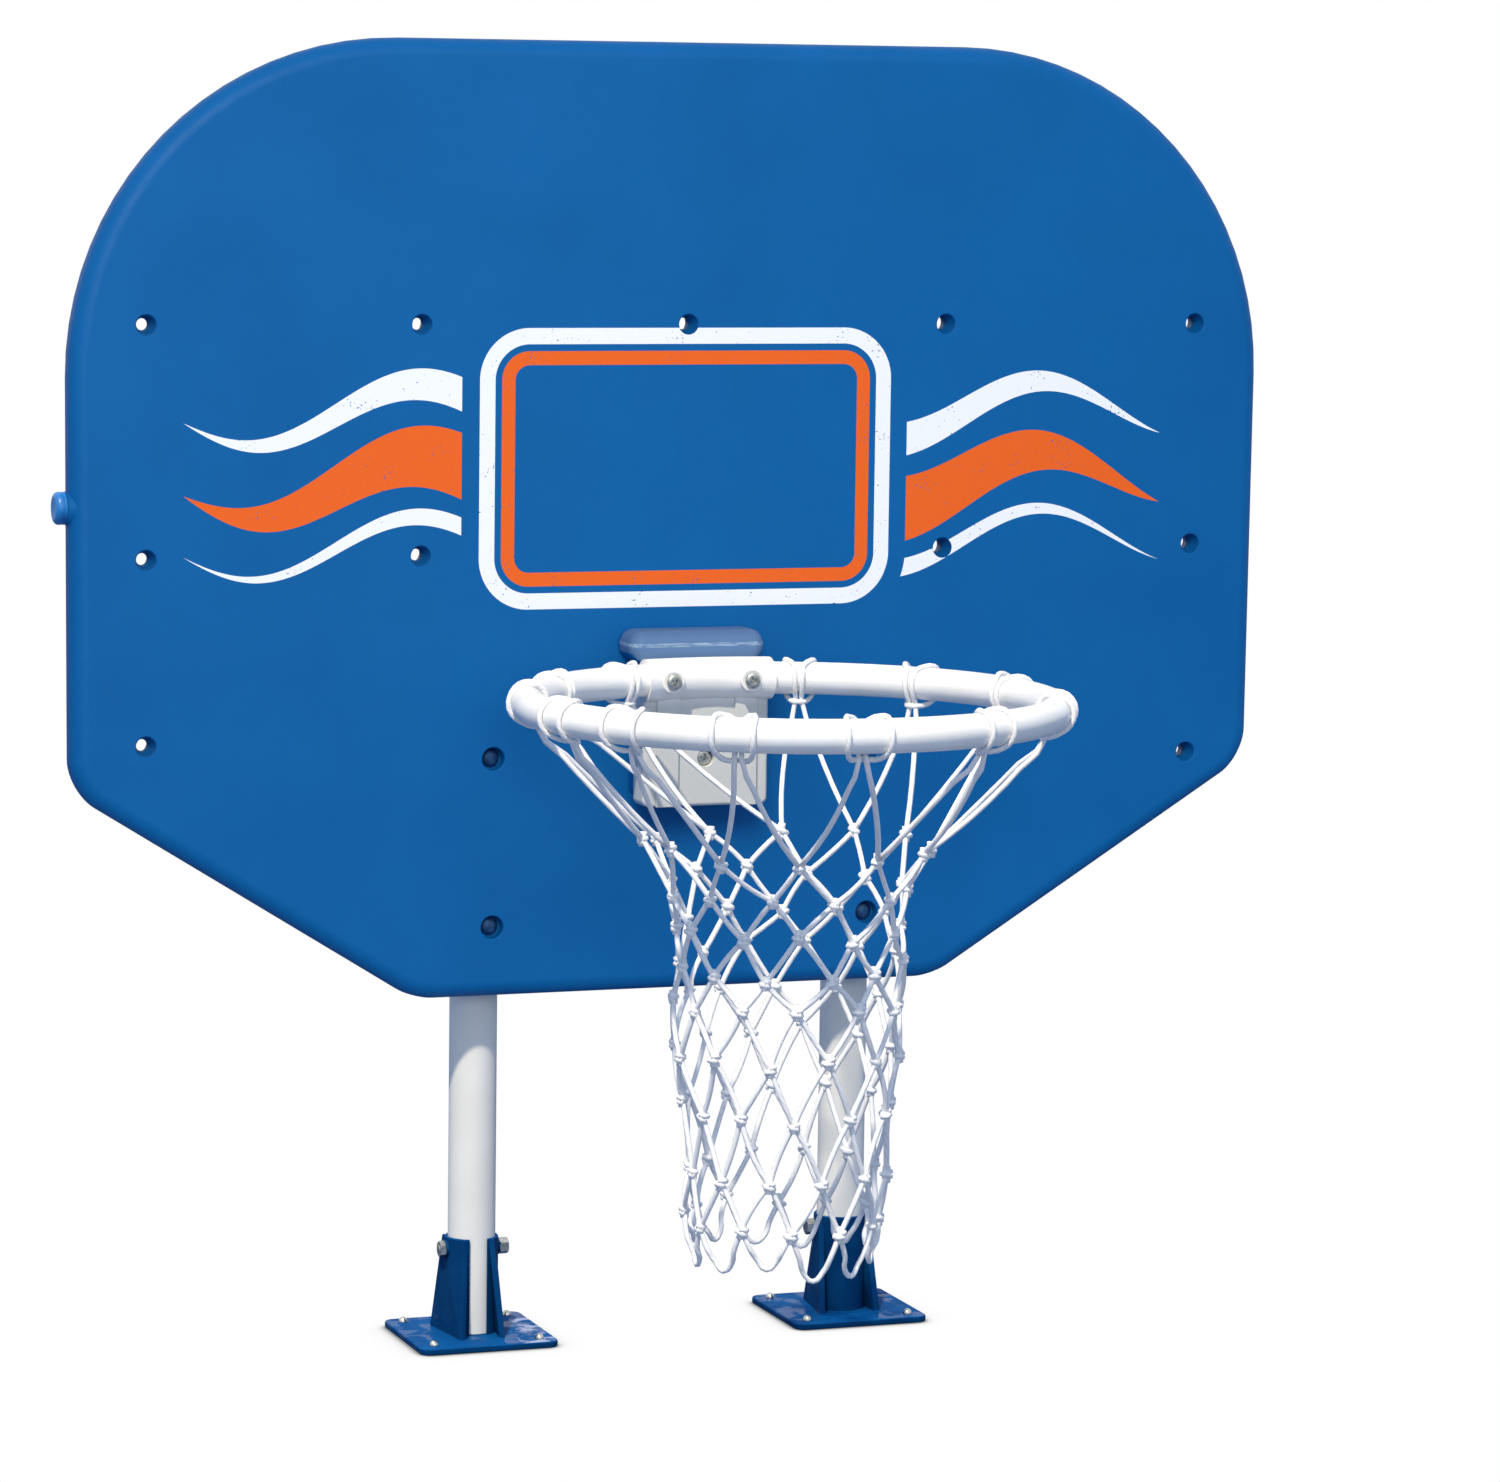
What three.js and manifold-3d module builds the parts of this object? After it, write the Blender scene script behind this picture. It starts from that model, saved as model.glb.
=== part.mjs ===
// Poolside basketball hoop: a hollow moulded backboard on two plastic pipes, pinned in deck
// sockets, with a tubular rim and a knotted cord net. Lengths are in millimetres and +Z is up.
// The pieces are placed with the deck at z = 0, the board's front face at y = 0 and the board's
// middle at x = 0, and players stand towards -Y. The last lines move the origin to the middle
// of the bounding box's bottom.
import * as THREE from 'three';
import { mergeVertices } from 'three/addons/utils/BufferGeometryUtils.js';
import Module from 'manifold-3d';

const wasm = await Module();
wasm.setup();

// Clearance between pieces that touch, and how far a cut runs past what it cuts
const fitGap = 0.3;
const cutOverrun = 2;

// Backboard shell
const boardWidth = 1100;
const boardHeight = 831;
const boardDepth = 36;
const boardRise = 314;
const boardWall = 4;
const boardEdgeRadius = 15;
const shoulderRadius = 290;
const flankCornerRise = 190;
const flankCornerRadius = 50;
const bottomEdgeWidth = 486;
const bottomCornerRadius = 60;

// Waisted holes where the board's front and back walls are moulded together
const tieMouthDiameter = 20;
const tieWaistDiameter = 10;
const tieSpacing = 242;
const topRowDrop = 244;
const middleRowDrop = 443;
const leftLowHoleDrop = 602;
const rightLowHoleDrop = 633;

// Raised seat and hood for the rim bracket
const rimDrop = 549;
const seatWidth = 102;
const seatDepth = 32;
const seatRadius = 5;
const seatCornerRadius = 8;
const hoodWidth = 128;
const hoodHeight = 26;
const hoodDepth = 38;
const hoodRadius = 9;
const hoodCornerRadius = 12;
const hoodRise = 16;

// Side plug and its bore in the board's left edge
const plugDrop = 399;
const plugBoreDiameter = 22;
const plugBossDiameter = 32;
const plugBossProud = 2;
const plugCollarLength = 20;
const plugKnobDiameter = 30;
const plugKnobThickness = 11.5;
const plugKnobRadius = 4;
const plugShankLength = 18;
const plugShankWall = 2.4;
const plugRunClearance = 0.35;
const sealSection = 2.4;
const sealSetback = 6;

// Rim tube
const rimDiameter = 439;
const rimTubeDiameter = 28.3;
const rimTubeWall = 2.6;
const rimEndGap = 8;
const rimStandOff = 51;

// Rim bracket
const bracketWidth = 111;
const bracketDrop = 111;
const bracketPlateDepth = 26;
const bracketWall = 4;
const saddleWall = 4;
const saddleBackRise = 13;
const bracketRadius = 3;
const bracketCornerRadius = 6;
const bossDiameter = 18;
const bossProud = 2.6;
const ribProud = 2;
const upperScrewSpacing = 72;
const lowerScrewDrop = 69;
const lowerScrewRecess = 8;

// Bracket screws and their threaded inserts
const screwDiameter = 6;
const screwHeadDiameter = 12.4;
const screwHeadHeight = 4;
const screwCrownShare = 0.6;
const screwEngagement = 11;
const screwClearance = 0.4;
const insertDiameter = 11;
const insertLength = 13;
const insertBossWall = 4;
const insertCollar = 1;

// Poles and their caps
const poleDiameter = 42.2;
const poleWall = 3.6;
const poleSpacing = 350;
const poleOverlap = 304;
const troughDepth = 3;
const capFlange = 3;
const capDome = 5;
const capSkirt = 22;
const capWall = 2.5;
const capDomeShares = [[1, 0], [0.72, 0.7], [0, 1]];

// Bolts that hold the board on the poles
const boardBoltDiameter = 8;
const boardBoltHeadDiameter = 16;
const boardBoltHeadHeight = 5;
const boardBoltDomeShares = [[0, 0], [0.55, 0.15], [1, 0.6]];
const boardBoltRecessDiameter = 20;
const boardBoltRecess = 12;
const lowBoltRise = 62;
const highBoltRise = 210;
const boltHoleClearance = 0.4;
const boltTip = 4;
const washerDiameter = 18;
const washerThickness = 1.6;
const nutWidth = 13;
const nutHeight = 6.8;

// Deck sockets
const plateSide = 127;
const plateThickness = 6;
const plateCornerRadius = 10;
const plateHoleInset = 15;
const plateHoleDiameter = 7;
const towerHeight = 91;
const sleeveWall = 3.7;
const webThickness = 6;
const webFootDepth = 58;
const webHeadDepth = 26;
const slotWidth = 16.5;
const barrelDiameter = 20;
const barrelRibThickness = 4;
const barrelRibDepth = 30;
const crossBoltDiameter = 8;
const crossBoltDrop = 16;
const crossBoltHeadHeight = 5.5;

// Net
const netLength = 472;
const netCordDiameter = 4.6;
const knotDiameter = 12;
const netGap = 0.35;
const tieGap = 1.5;
const knotDepth = 8;
const knotTaper = 9;
const hitchSpread = 7;
const hitchStartDegrees = 30;
const tieDegrees = [12, 40, 68, 111, 136, 160, 183, 211, 238, 265, 296, 334];
const rowDropShare = [0.2, 0.275, 0.343, 0.407, 0.475, 0.563, 0.663, 0.779, 0.868];
const rowRadiusShare = [0.556, 0.465, 0.442, 0.433, 0.428, 0.424, 0.401, 0.378, 0.374];
const endRadiusShare = 0.355;
const loopShoulderShare = 0.72;
const loopWidthShare = 0.6;

// Facets: sides of round pieces and steps along curves
const hexSides = 6;
const sealSides = 6;
const boltSides = 10;
const plugSides = 16;
const poleSides = 20;
const holeSides = 12;
const arcStepDegrees = 7.5;
const smallStepDegrees = 22.5;
const rimSteps = 40;
const rimSides = 10;
const rimBoreSides = 6;
const saddleSides = 14;
const saddleSteps = 48;
const columnSides = 8;
const loopSteps = 8;

// Places worked out from the dimensions above
const boardTop = boardRise + boardHeight;
const boardMiddleY = boardDepth / 2;
const rimZ = boardTop - rimDrop;
const rimRadius = rimDiameter / 2;
const rimTubeRadius = rimTubeDiameter / 2;
const rimCentreY = -rimStandOff - rimRadius;
const rimSag = rimRadius * (1 - Math.cos(Math.PI / rimSteps));
const poleRadius = poleDiameter / 2;
const poleY = boardDepth - troughDepth + fitGap + poleRadius;
const poleX = poleSpacing / 2;
const poleFootZ = plateThickness + fitGap;
const poleTopZ = boardRise + poleOverlap;
const seatFaceY = -seatDepth;
const bracketBackY = seatFaceY - fitGap;
const bracketFrontY = bracketBackY - bracketPlateDepth;
const saddleRadius = rimTubeRadius + fitGap + saddleWall;
const upperScrewX = upperScrewSpacing / 2;
const upperScrewSag = rimRadius - Math.sqrt(rimRadius ** 2 - upperScrewX ** 2);
const bossFaceY = -rimStandOff - upperScrewSag - saddleRadius - bossProud;
const lowerScrewZ = rimZ - lowerScrewDrop;
const plugZ = boardTop - plugDrop;
const plugSeatX = -boardWidth / 2 - plugBossProud;
const towerTopZ = plateThickness + towerHeight;
const crossBoltZ = towerTopZ - crossBoltDrop;
const sleeveRadius = poleRadius + fitGap + sleeveWall;
const webOuterX = poleRadius + fitGap + webThickness;
const washerFaceY = poleY + poleRadius + fitGap;
const hexCornerRadius = nutWidth / 2 / Math.cos(Math.PI / hexSides);

const materials = {
  blue: { color: 0x1465ac, roughness: 0.55, metalness: 0 },
  deepBlue: { color: 0x0f4c94, roughness: 0.42, metalness: 0 },
  white: { color: 0xf0efeb, roughness: 0.38, metalness: 0 },
  pipe: { color: 0xe9e7e2, roughness: 0.4, metalness: 0 },
  cord: { color: 0xf2f2f4, roughness: 0.85, metalness: 0 },
  zinc: { color: 0xb9bcbd, roughness: 0.32, metalness: 1 },
  brass: { color: 0xc9a45a, roughness: 0.35, metalness: 1 },
  seal: { color: 0x1a1b1d, roughness: 0.7, metalness: 0 },
};

const hoop = new THREE.Group();

// A named mesh in the assembly
function piece(name, body, finish) {
  const geometry = body.isBufferGeometry ? body : geometryOf(body);
  const mesh = new THREE.Mesh(geometry, new THREE.MeshStandardMaterial(materials[finish]));
  mesh.name = name;
  hoop.add(mesh);
  return mesh;
}

// A closed three.js geometry as a solid that can be cut and joined
function solid(geometry) {
  const bare = geometry.index ? geometry.toNonIndexed() : geometry.clone();
  bare.deleteAttribute('normal');
  bare.deleteAttribute('uv');
  const merged = mergeVertices(bare);
  const corners = merged.index.array;
  const kept = [];
  for (let i = 0; i < corners.length; i += 3) {
    const [a, b, c] = [corners[i], corners[i + 1], corners[i + 2]];
    if (a !== b && b !== c && c !== a) kept.push(a, b, c);
  }
  return new wasm.Manifold(new wasm.Mesh({
    numProp: 3,
    vertProperties: new Float32Array(merged.attributes.position.array),
    triVerts: new Uint32Array(kept),
  }));
}

// A solid's triangles as a three.js geometry
function geometryOf(body) {
  const mesh = body.getMesh();
  const geometry = new THREE.BufferGeometry();
  const positions = new Float32Array(mesh.vertProperties);
  geometry.setAttribute('position', new THREE.BufferAttribute(positions, 3));
  geometry.setIndex(new THREE.BufferAttribute(new Uint32Array(mesh.triVerts), 1));
  geometry.computeVertexNormals();
  return geometry;
}

// Joins a list of solids in pairs, so that no join is between very unequal solids
function joined(bodies) {
  let layer = bodies;
  while (layer.length > 1) {
    const next = [];
    for (let i = 0; i < layer.length; i += 2) {
      next.push(i + 1 < layer.length ? layer[i].add(layer[i + 1]) : layer[i]);
    }
    layer = next;
  }
  return layer[0];
}

function cut(body, tools) {
  return body.subtract(joined(tools));
}

// A round solid along an axis; profile points are [radius, distance along the axis]
function turned(profile, sides, axis, place) {
  const points = profile.map(([radius, along]) => new THREE.Vector2(radius, along));
  const geometry = new THREE.LatheGeometry(points, sides);
  if (axis === 'z') geometry.rotateX(Math.PI / 2);
  if (axis === 'x') geometry.rotateZ(-Math.PI / 2);
  geometry.translate(...place);
  return solid(geometry);
}

function rod(radius, from, to, sides, axis, place) {
  return turned([[0, from], [radius, from], [radius, to], [0, to]], sides, axis, place);
}

function box(low, high) {
  const size = high.map((value, i) => value - low[i]);
  const geometry = new THREE.BoxGeometry(...size);
  geometry.translate(...low.map((value, i) => value + size[i] / 2));
  return solid(geometry);
}

// A convex outline in X and Z with its corners rounded; corners run anticlockwise, each [x, z, radius]
function roundedOutline(corners, stepDegrees) {
  const points = [];
  corners.forEach(([x, z, radius], i) => {
    const here = new THREE.Vector2(x, z);
    const [beforeX, beforeZ] = corners.at(i - 1);
    const [afterX, afterZ] = corners[(i + 1) % corners.length];
    const before = new THREE.Vector2(beforeX, beforeZ).sub(here).normalize();
    const after = new THREE.Vector2(afterX, afterZ).sub(here).normalize();
    const half = Math.acos(before.dot(after)) / 2;
    const middle = before.clone().add(after).normalize();
    const centre = here.clone().addScaledVector(middle, radius / Math.sin(half));
    const start = here.clone().addScaledVector(before, radius / Math.tan(half)).sub(centre);
    const sweep = Math.PI - 2 * half;
    const steps = Math.max(2, Math.round(THREE.MathUtils.radToDeg(sweep) / stepDegrees));
    for (let k = 0; k <= steps; k += 1) {
      points.push(start.clone().rotateAround(new THREE.Vector2(), sweep * k / steps).add(centre));
    }
  });
  return new THREE.Shape(points);
}

function rectangle(width, bottom, top, radius) {
  const half = width / 2;
  return roundedOutline([
    [-half, bottom, radius],
    [half, bottom, radius],
    [half, top, radius],
    [-half, top, radius],
  ], smallStepDegrees);
}

// An outline in X and Z given thickness from y = front to y = back, with rounded front and back edges
function slab(outline, front, back, radius, inset, edgeSteps) {
  const geometry = new THREE.ExtrudeGeometry(outline, {
    depth: back - front - 2 * radius,
    bevelThickness: radius,
    bevelSize: radius,
    bevelOffset: -radius - inset,
    bevelSegments: edgeSteps,
    steps: 1,
  });
  geometry.rotateX(Math.PI / 2);
  geometry.translate(0, back - radius, 0);
  return solid(geometry);
}

// An outline in the XY plane raised from z = bottom to z = top
function raised(outline, bottom, top) {
  const geometry = new THREE.ExtrudeGeometry(outline, { depth: top - bottom, bevelEnabled: false });
  geometry.translate(0, 0, bottom);
  return solid(geometry);
}

// The waisted hole's profile along the board's depth, widened by a wall for the column round it
function waistProfile(wall, start, end, rings) {
  const mouth = tieMouthDiameter / 2 + wall;
  const waist = tieWaistDiameter / 2 + wall;
  const profile = [[0, start], [mouth, start]];
  for (let k = 0; k <= rings; k += 1) {
    const swing = (1 + Math.cos(2 * Math.PI * k / rings)) / 2;
    profile.push([waist + (mouth - waist) * swing, boardDepth * k / rings]);
  }
  profile.push([mouth, end], [0, end]);
  return profile;
}

function boardOutline() {
  const side = boardWidth / 2;
  const foot = bottomEdgeWidth / 2;
  const flankZ = boardRise + flankCornerRise;
  return roundedOutline([
    [-foot, boardRise, bottomCornerRadius],
    [foot, boardRise, bottomCornerRadius],
    [side, flankZ, flankCornerRadius],
    [side, boardTop, shoulderRadius],
    [-side, boardTop, shoulderRadius],
    [-side, flankZ, flankCornerRadius],
  ], arcStepDegrees);
}

// Middles of the waisted holes: a full top row, a middle row that leaves out the rim's place, and
// one hole low on each flank
function tiePlaces() {
  const places = [];
  for (let column = -2; column <= 2; column += 1) {
    places.push([column * tieSpacing, boardTop - topRowDrop]);
    if (column !== 0) places.push([column * tieSpacing, boardTop - middleRowDrop]);
  }
  places.push([-2 * tieSpacing, boardTop - leftLowHoleDrop]);
  places.push([2 * tieSpacing, boardTop - rightLowHoleDrop]);
  return places;
}

function boardBoltPlaces() {
  const places = [];
  for (const [side, x] of [['left', -poleX], ['right', poleX]]) {
    places.push([`${side}_low`, x, boardRise + lowBoltRise]);
    places.push([`${side}_high`, x, boardRise + highBoltRise]);
  }
  return places;
}

function bracketScrewPlaces() {
  return [
    ['upper_left', -upperScrewX, rimZ, bossFaceY],
    ['upper_right', upperScrewX, rimZ, bossFaceY],
    ['lower', 0, lowerScrewZ, bracketFrontY + lowerScrewRecess],
  ];
}

// One hollow moulding: an outer skin, less a cavity from which the columns round the holes, the
// collars round the inserts and the plug bore, and the troughs behind the poles are left standing
function backboard() {
  const outline = boardOutline();
  const seatBottom = rimZ - bracketDrop + bracketWall;
  const hoodBottom = rimZ + hoodRise;
  const hoodTop = hoodBottom + hoodHeight;
  const seatOutline = rectangle(seatWidth, seatBottom, hoodBottom + hoodRadius, seatCornerRadius);
  const hoodOutline = rectangle(hoodWidth, hoodBottom, hoodTop, hoodCornerRadius);
  const innerRadius = boardEdgeRadius - boardWall;
  const hoodInner = hoodRadius - boardWall;
  const seatInner = seatRadius - boardWall;
  const insertOuter = insertDiameter / 2 + insertBossWall;
  const boltHole = boardBoltDiameter / 2 + boltHoleClearance;
  const recess = boardBoltRecessDiameter / 2;
  const troughRadius = poleRadius + fitGap;
  const troughTop = poleTopZ + capFlange + capDome + fitGap;
  const edgeX = -boardWidth / 2;
  const plugPlace = [0, boardMiddleY, plugZ];

  const skin = joined([
    slab(outline, 0, boardDepth, boardEdgeRadius, 0, 3),
    slab(seatOutline, -seatDepth, boardMiddleY, seatRadius, 0, 2),
    slab(hoodOutline, -hoodDepth, boardMiddleY, hoodRadius, 0, 3),
    rod(plugBossDiameter / 2, plugSeatX, edgeX + boardEdgeRadius, poleSides, 'x', plugPlace),
  ]);
  const hollow = joined([
    slab(outline, boardWall, boardDepth - boardWall, innerRadius, boardWall, 2),
    slab(seatOutline, boardWall - seatDepth, boardMiddleY, seatInner, boardWall, 1),
    slab(hoodOutline, boardWall - hoodDepth, boardMiddleY, hoodInner, boardWall, 1),
  ]);

  const standing = [];
  const holes = [];
  const columnProfile = waistProfile(boardWall, 0, boardDepth, 2);
  const holeProfile = waistProfile(0, -cutOverrun, boardDepth + cutOverrun, 4);
  for (const [x, z] of tiePlaces()) {
    standing.push(turned(columnProfile, columnSides, 'y', [x, 0, z]));
    holes.push(turned(holeProfile, holeSides, 'y', [x, 0, z]));
  }
  for (const [, x, z] of boardBoltPlaces()) {
    standing.push(rod(recess + boardWall, 0, boardDepth, boltSides, 'y', [x, 0, z]));
    holes.push(rod(recess, -cutOverrun, boardBoltRecess, holeSides, 'y', [x, 0, z]));
    holes.push(rod(boltHole, 0, boardDepth + cutOverrun, boltSides, 'y', [x, 0, z]));
  }
  for (const x of [-poleX, poleX]) {
    const backed = troughRadius + boardWall;
    standing.push(rod(backed, 0, troughTop + boardWall, poleSides, 'z', [x, poleY, 0]));
    holes.push(rod(troughRadius, 0, troughTop, poleSides, 'z', [x, poleY, 0]));
  }
  for (const [, x, z] of bracketScrewPlaces()) {
    const root = seatFaceY + insertLength + fitGap;
    const insertHole = insertDiameter / 2 + fitGap;
    standing.push(rod(insertOuter, seatFaceY, root + boardWall, boltSides, 'y', [x, 0, z]));
    holes.push(rod(insertHole, seatFaceY - cutOverrun, root, boltSides, 'y', [x, 0, z]));
  }
  const collarEnd = edgeX + plugCollarLength;
  const plugBore = plugBoreDiameter / 2;
  standing.push(rod(plugBore + boardWall, edgeX, collarEnd, poleSides, 'x', plugPlace));
  holes.push(rod(plugBore, plugSeatX - cutOverrun, collarEnd + cutOverrun, poleSides, 'x', plugPlace));

  return cut(skin, [cut(hollow, standing)]).subtract(joined(holes));
}

// Push-in plug: a rounded knob, and a hollow shank with a groove for its sealing ring
function sidePlug() {
  const knob = plugKnobDiameter / 2;
  const shank = plugBoreDiameter / 2 - plugRunClearance;
  const groove = shank - sealSection - fitGap;
  const under = plugSeatX - fitGap;
  const outer = under - plugKnobThickness;
  const tip = under + plugShankLength;
  const grooveNear = under + sealSetback - sealSection / 2 - fitGap;
  const grooveFar = under + sealSetback + sealSection / 2 + fitGap;
  const round = plugKnobRadius * (1 - Math.SQRT1_2);
  const profile = [
    [0, outer],
    [knob - plugKnobRadius, outer],
    [knob - round, outer + round],
    [knob, outer + plugKnobRadius],
    [knob, under],
    [shank, under],
    [shank, grooveNear],
    [groove, grooveNear],
    [groove, grooveFar],
    [shank, grooveFar],
    [shank, tip],
    [groove - plugShankWall, tip],
    [groove - plugShankWall, under],
    [0, under],
  ];
  return turned(profile, plugSides, 'x', [0, boardMiddleY, plugZ]);
}

// The sealing ring lies in the plug's groove, clear of the bore
function plugSeal() {
  const outer = plugBoreDiameter / 2 - plugRunClearance;
  const ring = new THREE.TorusGeometry(outer - sealSection / 2, sealSection / 2, sealSides, plugSides);
  ring.rotateY(Math.PI / 2);
  ring.translate(plugSeatX - fitGap + sealSetback, boardMiddleY, plugZ);
  return solid(ring);
}

// Rim tube: bent to a ring whose two ends face each other inside the bracket's saddle
class RingArc extends THREE.Curve {
  constructor(radius, startAngle, sweep) {
    super();
    this.radius = radius;
    this.startAngle = startAngle;
    this.sweep = sweep;
  }

  getPoint(t) {
    const angle = this.startAngle + this.sweep * t;
    return new THREE.Vector3(this.radius * Math.cos(angle), this.radius * Math.sin(angle), 0);
  }
}

function circle(radius, sides) {
  const points = [];
  for (let k = 0; k < sides; k += 1) {
    const angle = 2 * Math.PI * (k + 0.5) / sides;
    points.push(new THREE.Vector2(radius * Math.cos(angle), radius * Math.sin(angle)));
  }
  return points;
}

function arcTube(radius, sides, halfGap, steps) {
  const gapAngle = Math.asin(halfGap / rimRadius);
  const geometry = new THREE.ExtrudeGeometry(new THREE.Shape(circle(radius, sides)), {
    steps,
    extrudePath: new RingArc(rimRadius, Math.PI / 2 + gapAngle, 2 * Math.PI - 2 * gapAngle),
  });
  geometry.translate(0, rimCentreY, rimZ);
  return solid(geometry);
}

function rimRing() {
  const tube = arcTube(rimTubeRadius, rimSides, rimEndGap / 2, rimSteps);
  const bore = arcTube(rimTubeRadius - rimTubeWall, rimBoreSides, rimEndGap / 2 - cutOverrun, rimSteps);
  const screwHole = screwDiameter / 2 + screwClearance;
  const screwCuts = [-upperScrewX, upperScrewX].map((x) => rod(
    screwHole,
    -rimStandOff - rimTubeDiameter,
    -rimStandOff + rimTubeDiameter,
    boltSides,
    'y',
    [x, 0, rimZ],
  ));
  return cut(tube, [bore, ...screwCuts]);
}

// Bracket: a saddle that follows the ring's bend, with a stop between the tube's two ends, over a
// ribbed plate that is open at the back
function rimBracket() {
  const half = bracketWidth / 2;
  const saddleBore = (rimTubeRadius + fitGap) / Math.cos(Math.PI / saddleSides);
  const plateTop = rimZ - saddleRadius + bracketWall;
  const plateBottom = rimZ - bracketDrop;
  const plateOutline = rectangle(bracketWidth, plateBottom, plateTop, bracketCornerRadius);
  const saddleRing = solid(new THREE.TorusGeometry(rimRadius, saddleRadius, saddleSides, saddleSteps)
    .translate(0, rimCentreY, rimZ));
  const bore = arcTube(saddleBore, saddleSides, rimEndGap / 2 - fitGap, rimSteps);
  const saddleSpan = box(
    [-half, rimCentreY, rimZ - saddleRadius - cutOverrun],
    [half, bracketBackY, rimZ + saddleRadius + cutOverrun],
  );
  const saddleBack = box(
    [-half, -rimStandOff, rimZ - saddleRadius],
    [half, bracketBackY, rimZ + saddleBackRise],
  );
  const plate = slab(plateOutline, bracketFrontY, bracketBackY + bracketRadius, bracketRadius, 0, 2)
    .subtract(box([-half, bracketBackY, plateBottom], [half, bracketBackY + bracketRadius, plateTop]));
  const pocketFrontY = bracketFrontY + bracketWall;
  const pocket = box(
    [-half + bracketWall, pocketFrontY, plateBottom + bracketWall],
    [half - bracketWall, bracketBackY + cutOverrun, rimZ - saddleRadius],
  );
  const ribHalf = bossDiameter / 2;
  const ribFrontY = bracketFrontY - ribProud;
  const lowerPlace = [0, 0, lowerScrewZ];
  const additions = [];
  const cuts = [];
  for (const x of [-upperScrewX, upperScrewX]) {
    additions.push(box([x - ribHalf, ribFrontY, plateBottom], [x + ribHalf, -rimStandOff, rimZ]));
    additions.push(rod(ribHalf, bossFaceY, -rimStandOff, poleSides, 'y', [x, 0, rimZ]));
  }
  const lowerBoss = rod(ribHalf, pocketFrontY, bracketBackY, poleSides, 'y', lowerPlace);
  const screwHole = screwDiameter / 2 + screwClearance;
  const headHole = screwHeadDiameter / 2 + fitGap;
  for (const [, x, z, seat] of bracketScrewPlaces()) {
    cuts.push(rod(screwHole, seat - cutOverrun, bracketBackY + cutOverrun, boltSides, 'y', [x, 0, z]));
  }
  const lowerSeat = bracketFrontY + lowerScrewRecess;
  cuts.push(rod(headHole, bracketFrontY - cutOverrun, lowerSeat, poleSides, 'y', lowerPlace));
  const shell = cut(plate, [cut(pocket, [lowerBoss])]);
  const saddle = joined([saddleRing.intersect(saddleSpan), saddleBack, shell, ...additions]);
  return cut(saddle, [bore, ...cuts]);
}

// Pan-head screw that points back along +Y from its seat
function bracketScrew(x, z, seat) {
  const head = screwHeadDiameter / 2;
  const shank = screwDiameter / 2;
  const under = seat - fitGap;
  const crown = under - screwHeadHeight;
  const tip = seatFaceY + screwEngagement;
  return turned([
    [0, crown],
    [head * screwCrownShare, crown],
    [head, under - screwHeadHeight / 2],
    [head, under],
    [shank, under],
    [shank, tip],
    [0, tip],
  ], boltSides, 'y', [x, 0, z]);
}

// Brass sleeve moulded into the seat, closed at its inner end
function threadedInsert(x, z) {
  const outer = insertDiameter / 2;
  const bore = screwDiameter / 2 + fitGap;
  const end = seatFaceY + insertLength;
  return turned([
    [0, end - insertCollar],
    [bore, end - insertCollar],
    [bore, seatFaceY],
    [outer, seatFaceY],
    [outer, end],
    [0, end],
  ], boltSides, 'y', [x, 0, z]);
}

// Pipe with cross holes for the two board bolts and the socket's bolt
function pole(x) {
  const bore = poleRadius - poleWall;
  const tube = rod(poleRadius, poleFootZ, poleTopZ, poleSides, 'z', [x, poleY, 0]);
  const boltHole = boardBoltDiameter / 2 + boltHoleClearance;
  const crossHole = crossBoltDiameter / 2 + boltHoleClearance;
  const reach = poleRadius + cutOverrun;
  return cut(tube, [
    rod(bore, poleFootZ - cutOverrun, poleTopZ + cutOverrun, poleSides, 'z', [x, poleY, 0]),
    rod(boltHole, -reach, reach, boltSides, 'y', [x, poleY, boardRise + lowBoltRise]),
    rod(boltHole, -reach, reach, boltSides, 'y', [x, poleY, boardRise + highBoltRise]),
    rod(crossHole, -reach, reach, boltSides, 'x', [x, poleY, crossBoltZ]),
  ]);
}

// Domed cap with a hollow skirt that plugs the top of the pole
function poleCap(x) {
  const skirt = poleRadius - poleWall - fitGap;
  const seat = poleTopZ + fitGap;
  const domeZ = seat + capFlange;
  const dome = capDomeShares.map(([out, rise]) => [poleRadius * out, domeZ + capDome * rise]);
  return turned([
    [0, seat],
    [skirt - capWall, seat],
    [skirt - capWall, seat - capSkirt],
    [skirt, seat - capSkirt],
    [skirt, seat],
    [poleRadius, seat],
    ...dome,
  ], plugSides, 'z', [x, poleY, 0]);
}

// Dome-headed bolt, sunk in the board's recess and long enough for the pole, a washer and a nut
function boardBolt(x, z) {
  const head = boardBoltHeadDiameter / 2;
  const shank = boardBoltDiameter / 2;
  const under = boardBoltRecess - fitGap;
  const crown = under - boardBoltHeadHeight;
  const tip = poleY + poleRadius + fitGap + washerThickness + fitGap + nutHeight + boltTip;
  const dome = boardBoltDomeShares.map(([out, deep]) => (
    [head * out, crown + boardBoltHeadHeight * deep]
  ));
  return turned([
    ...dome,
    [head, under],
    [shank, under],
    [shank, tip],
    [0, tip],
  ], boltSides, 'y', [x, 0, z]);
}

function ringSolid(outer, inner, from, to, sides, axis, place) {
  return rod(outer, from, to, sides, axis, place)
    .subtract(rod(inner, from - cutOverrun, to + cutOverrun, boltSides, axis, place));
}

function poleWasher(x, z) {
  const hole = boardBoltDiameter / 2 + fitGap;
  const end = washerFaceY + washerThickness;
  return ringSolid(washerDiameter / 2, hole, washerFaceY, end, holeSides, 'y', [x, 0, z]);
}

function hexNut(boltDiameter, from, axis, place) {
  const bore = boltDiameter / 2 + fitGap;
  return ringSolid(hexCornerRadius, bore, from, from + nutHeight, hexSides, axis, place);
}

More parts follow.
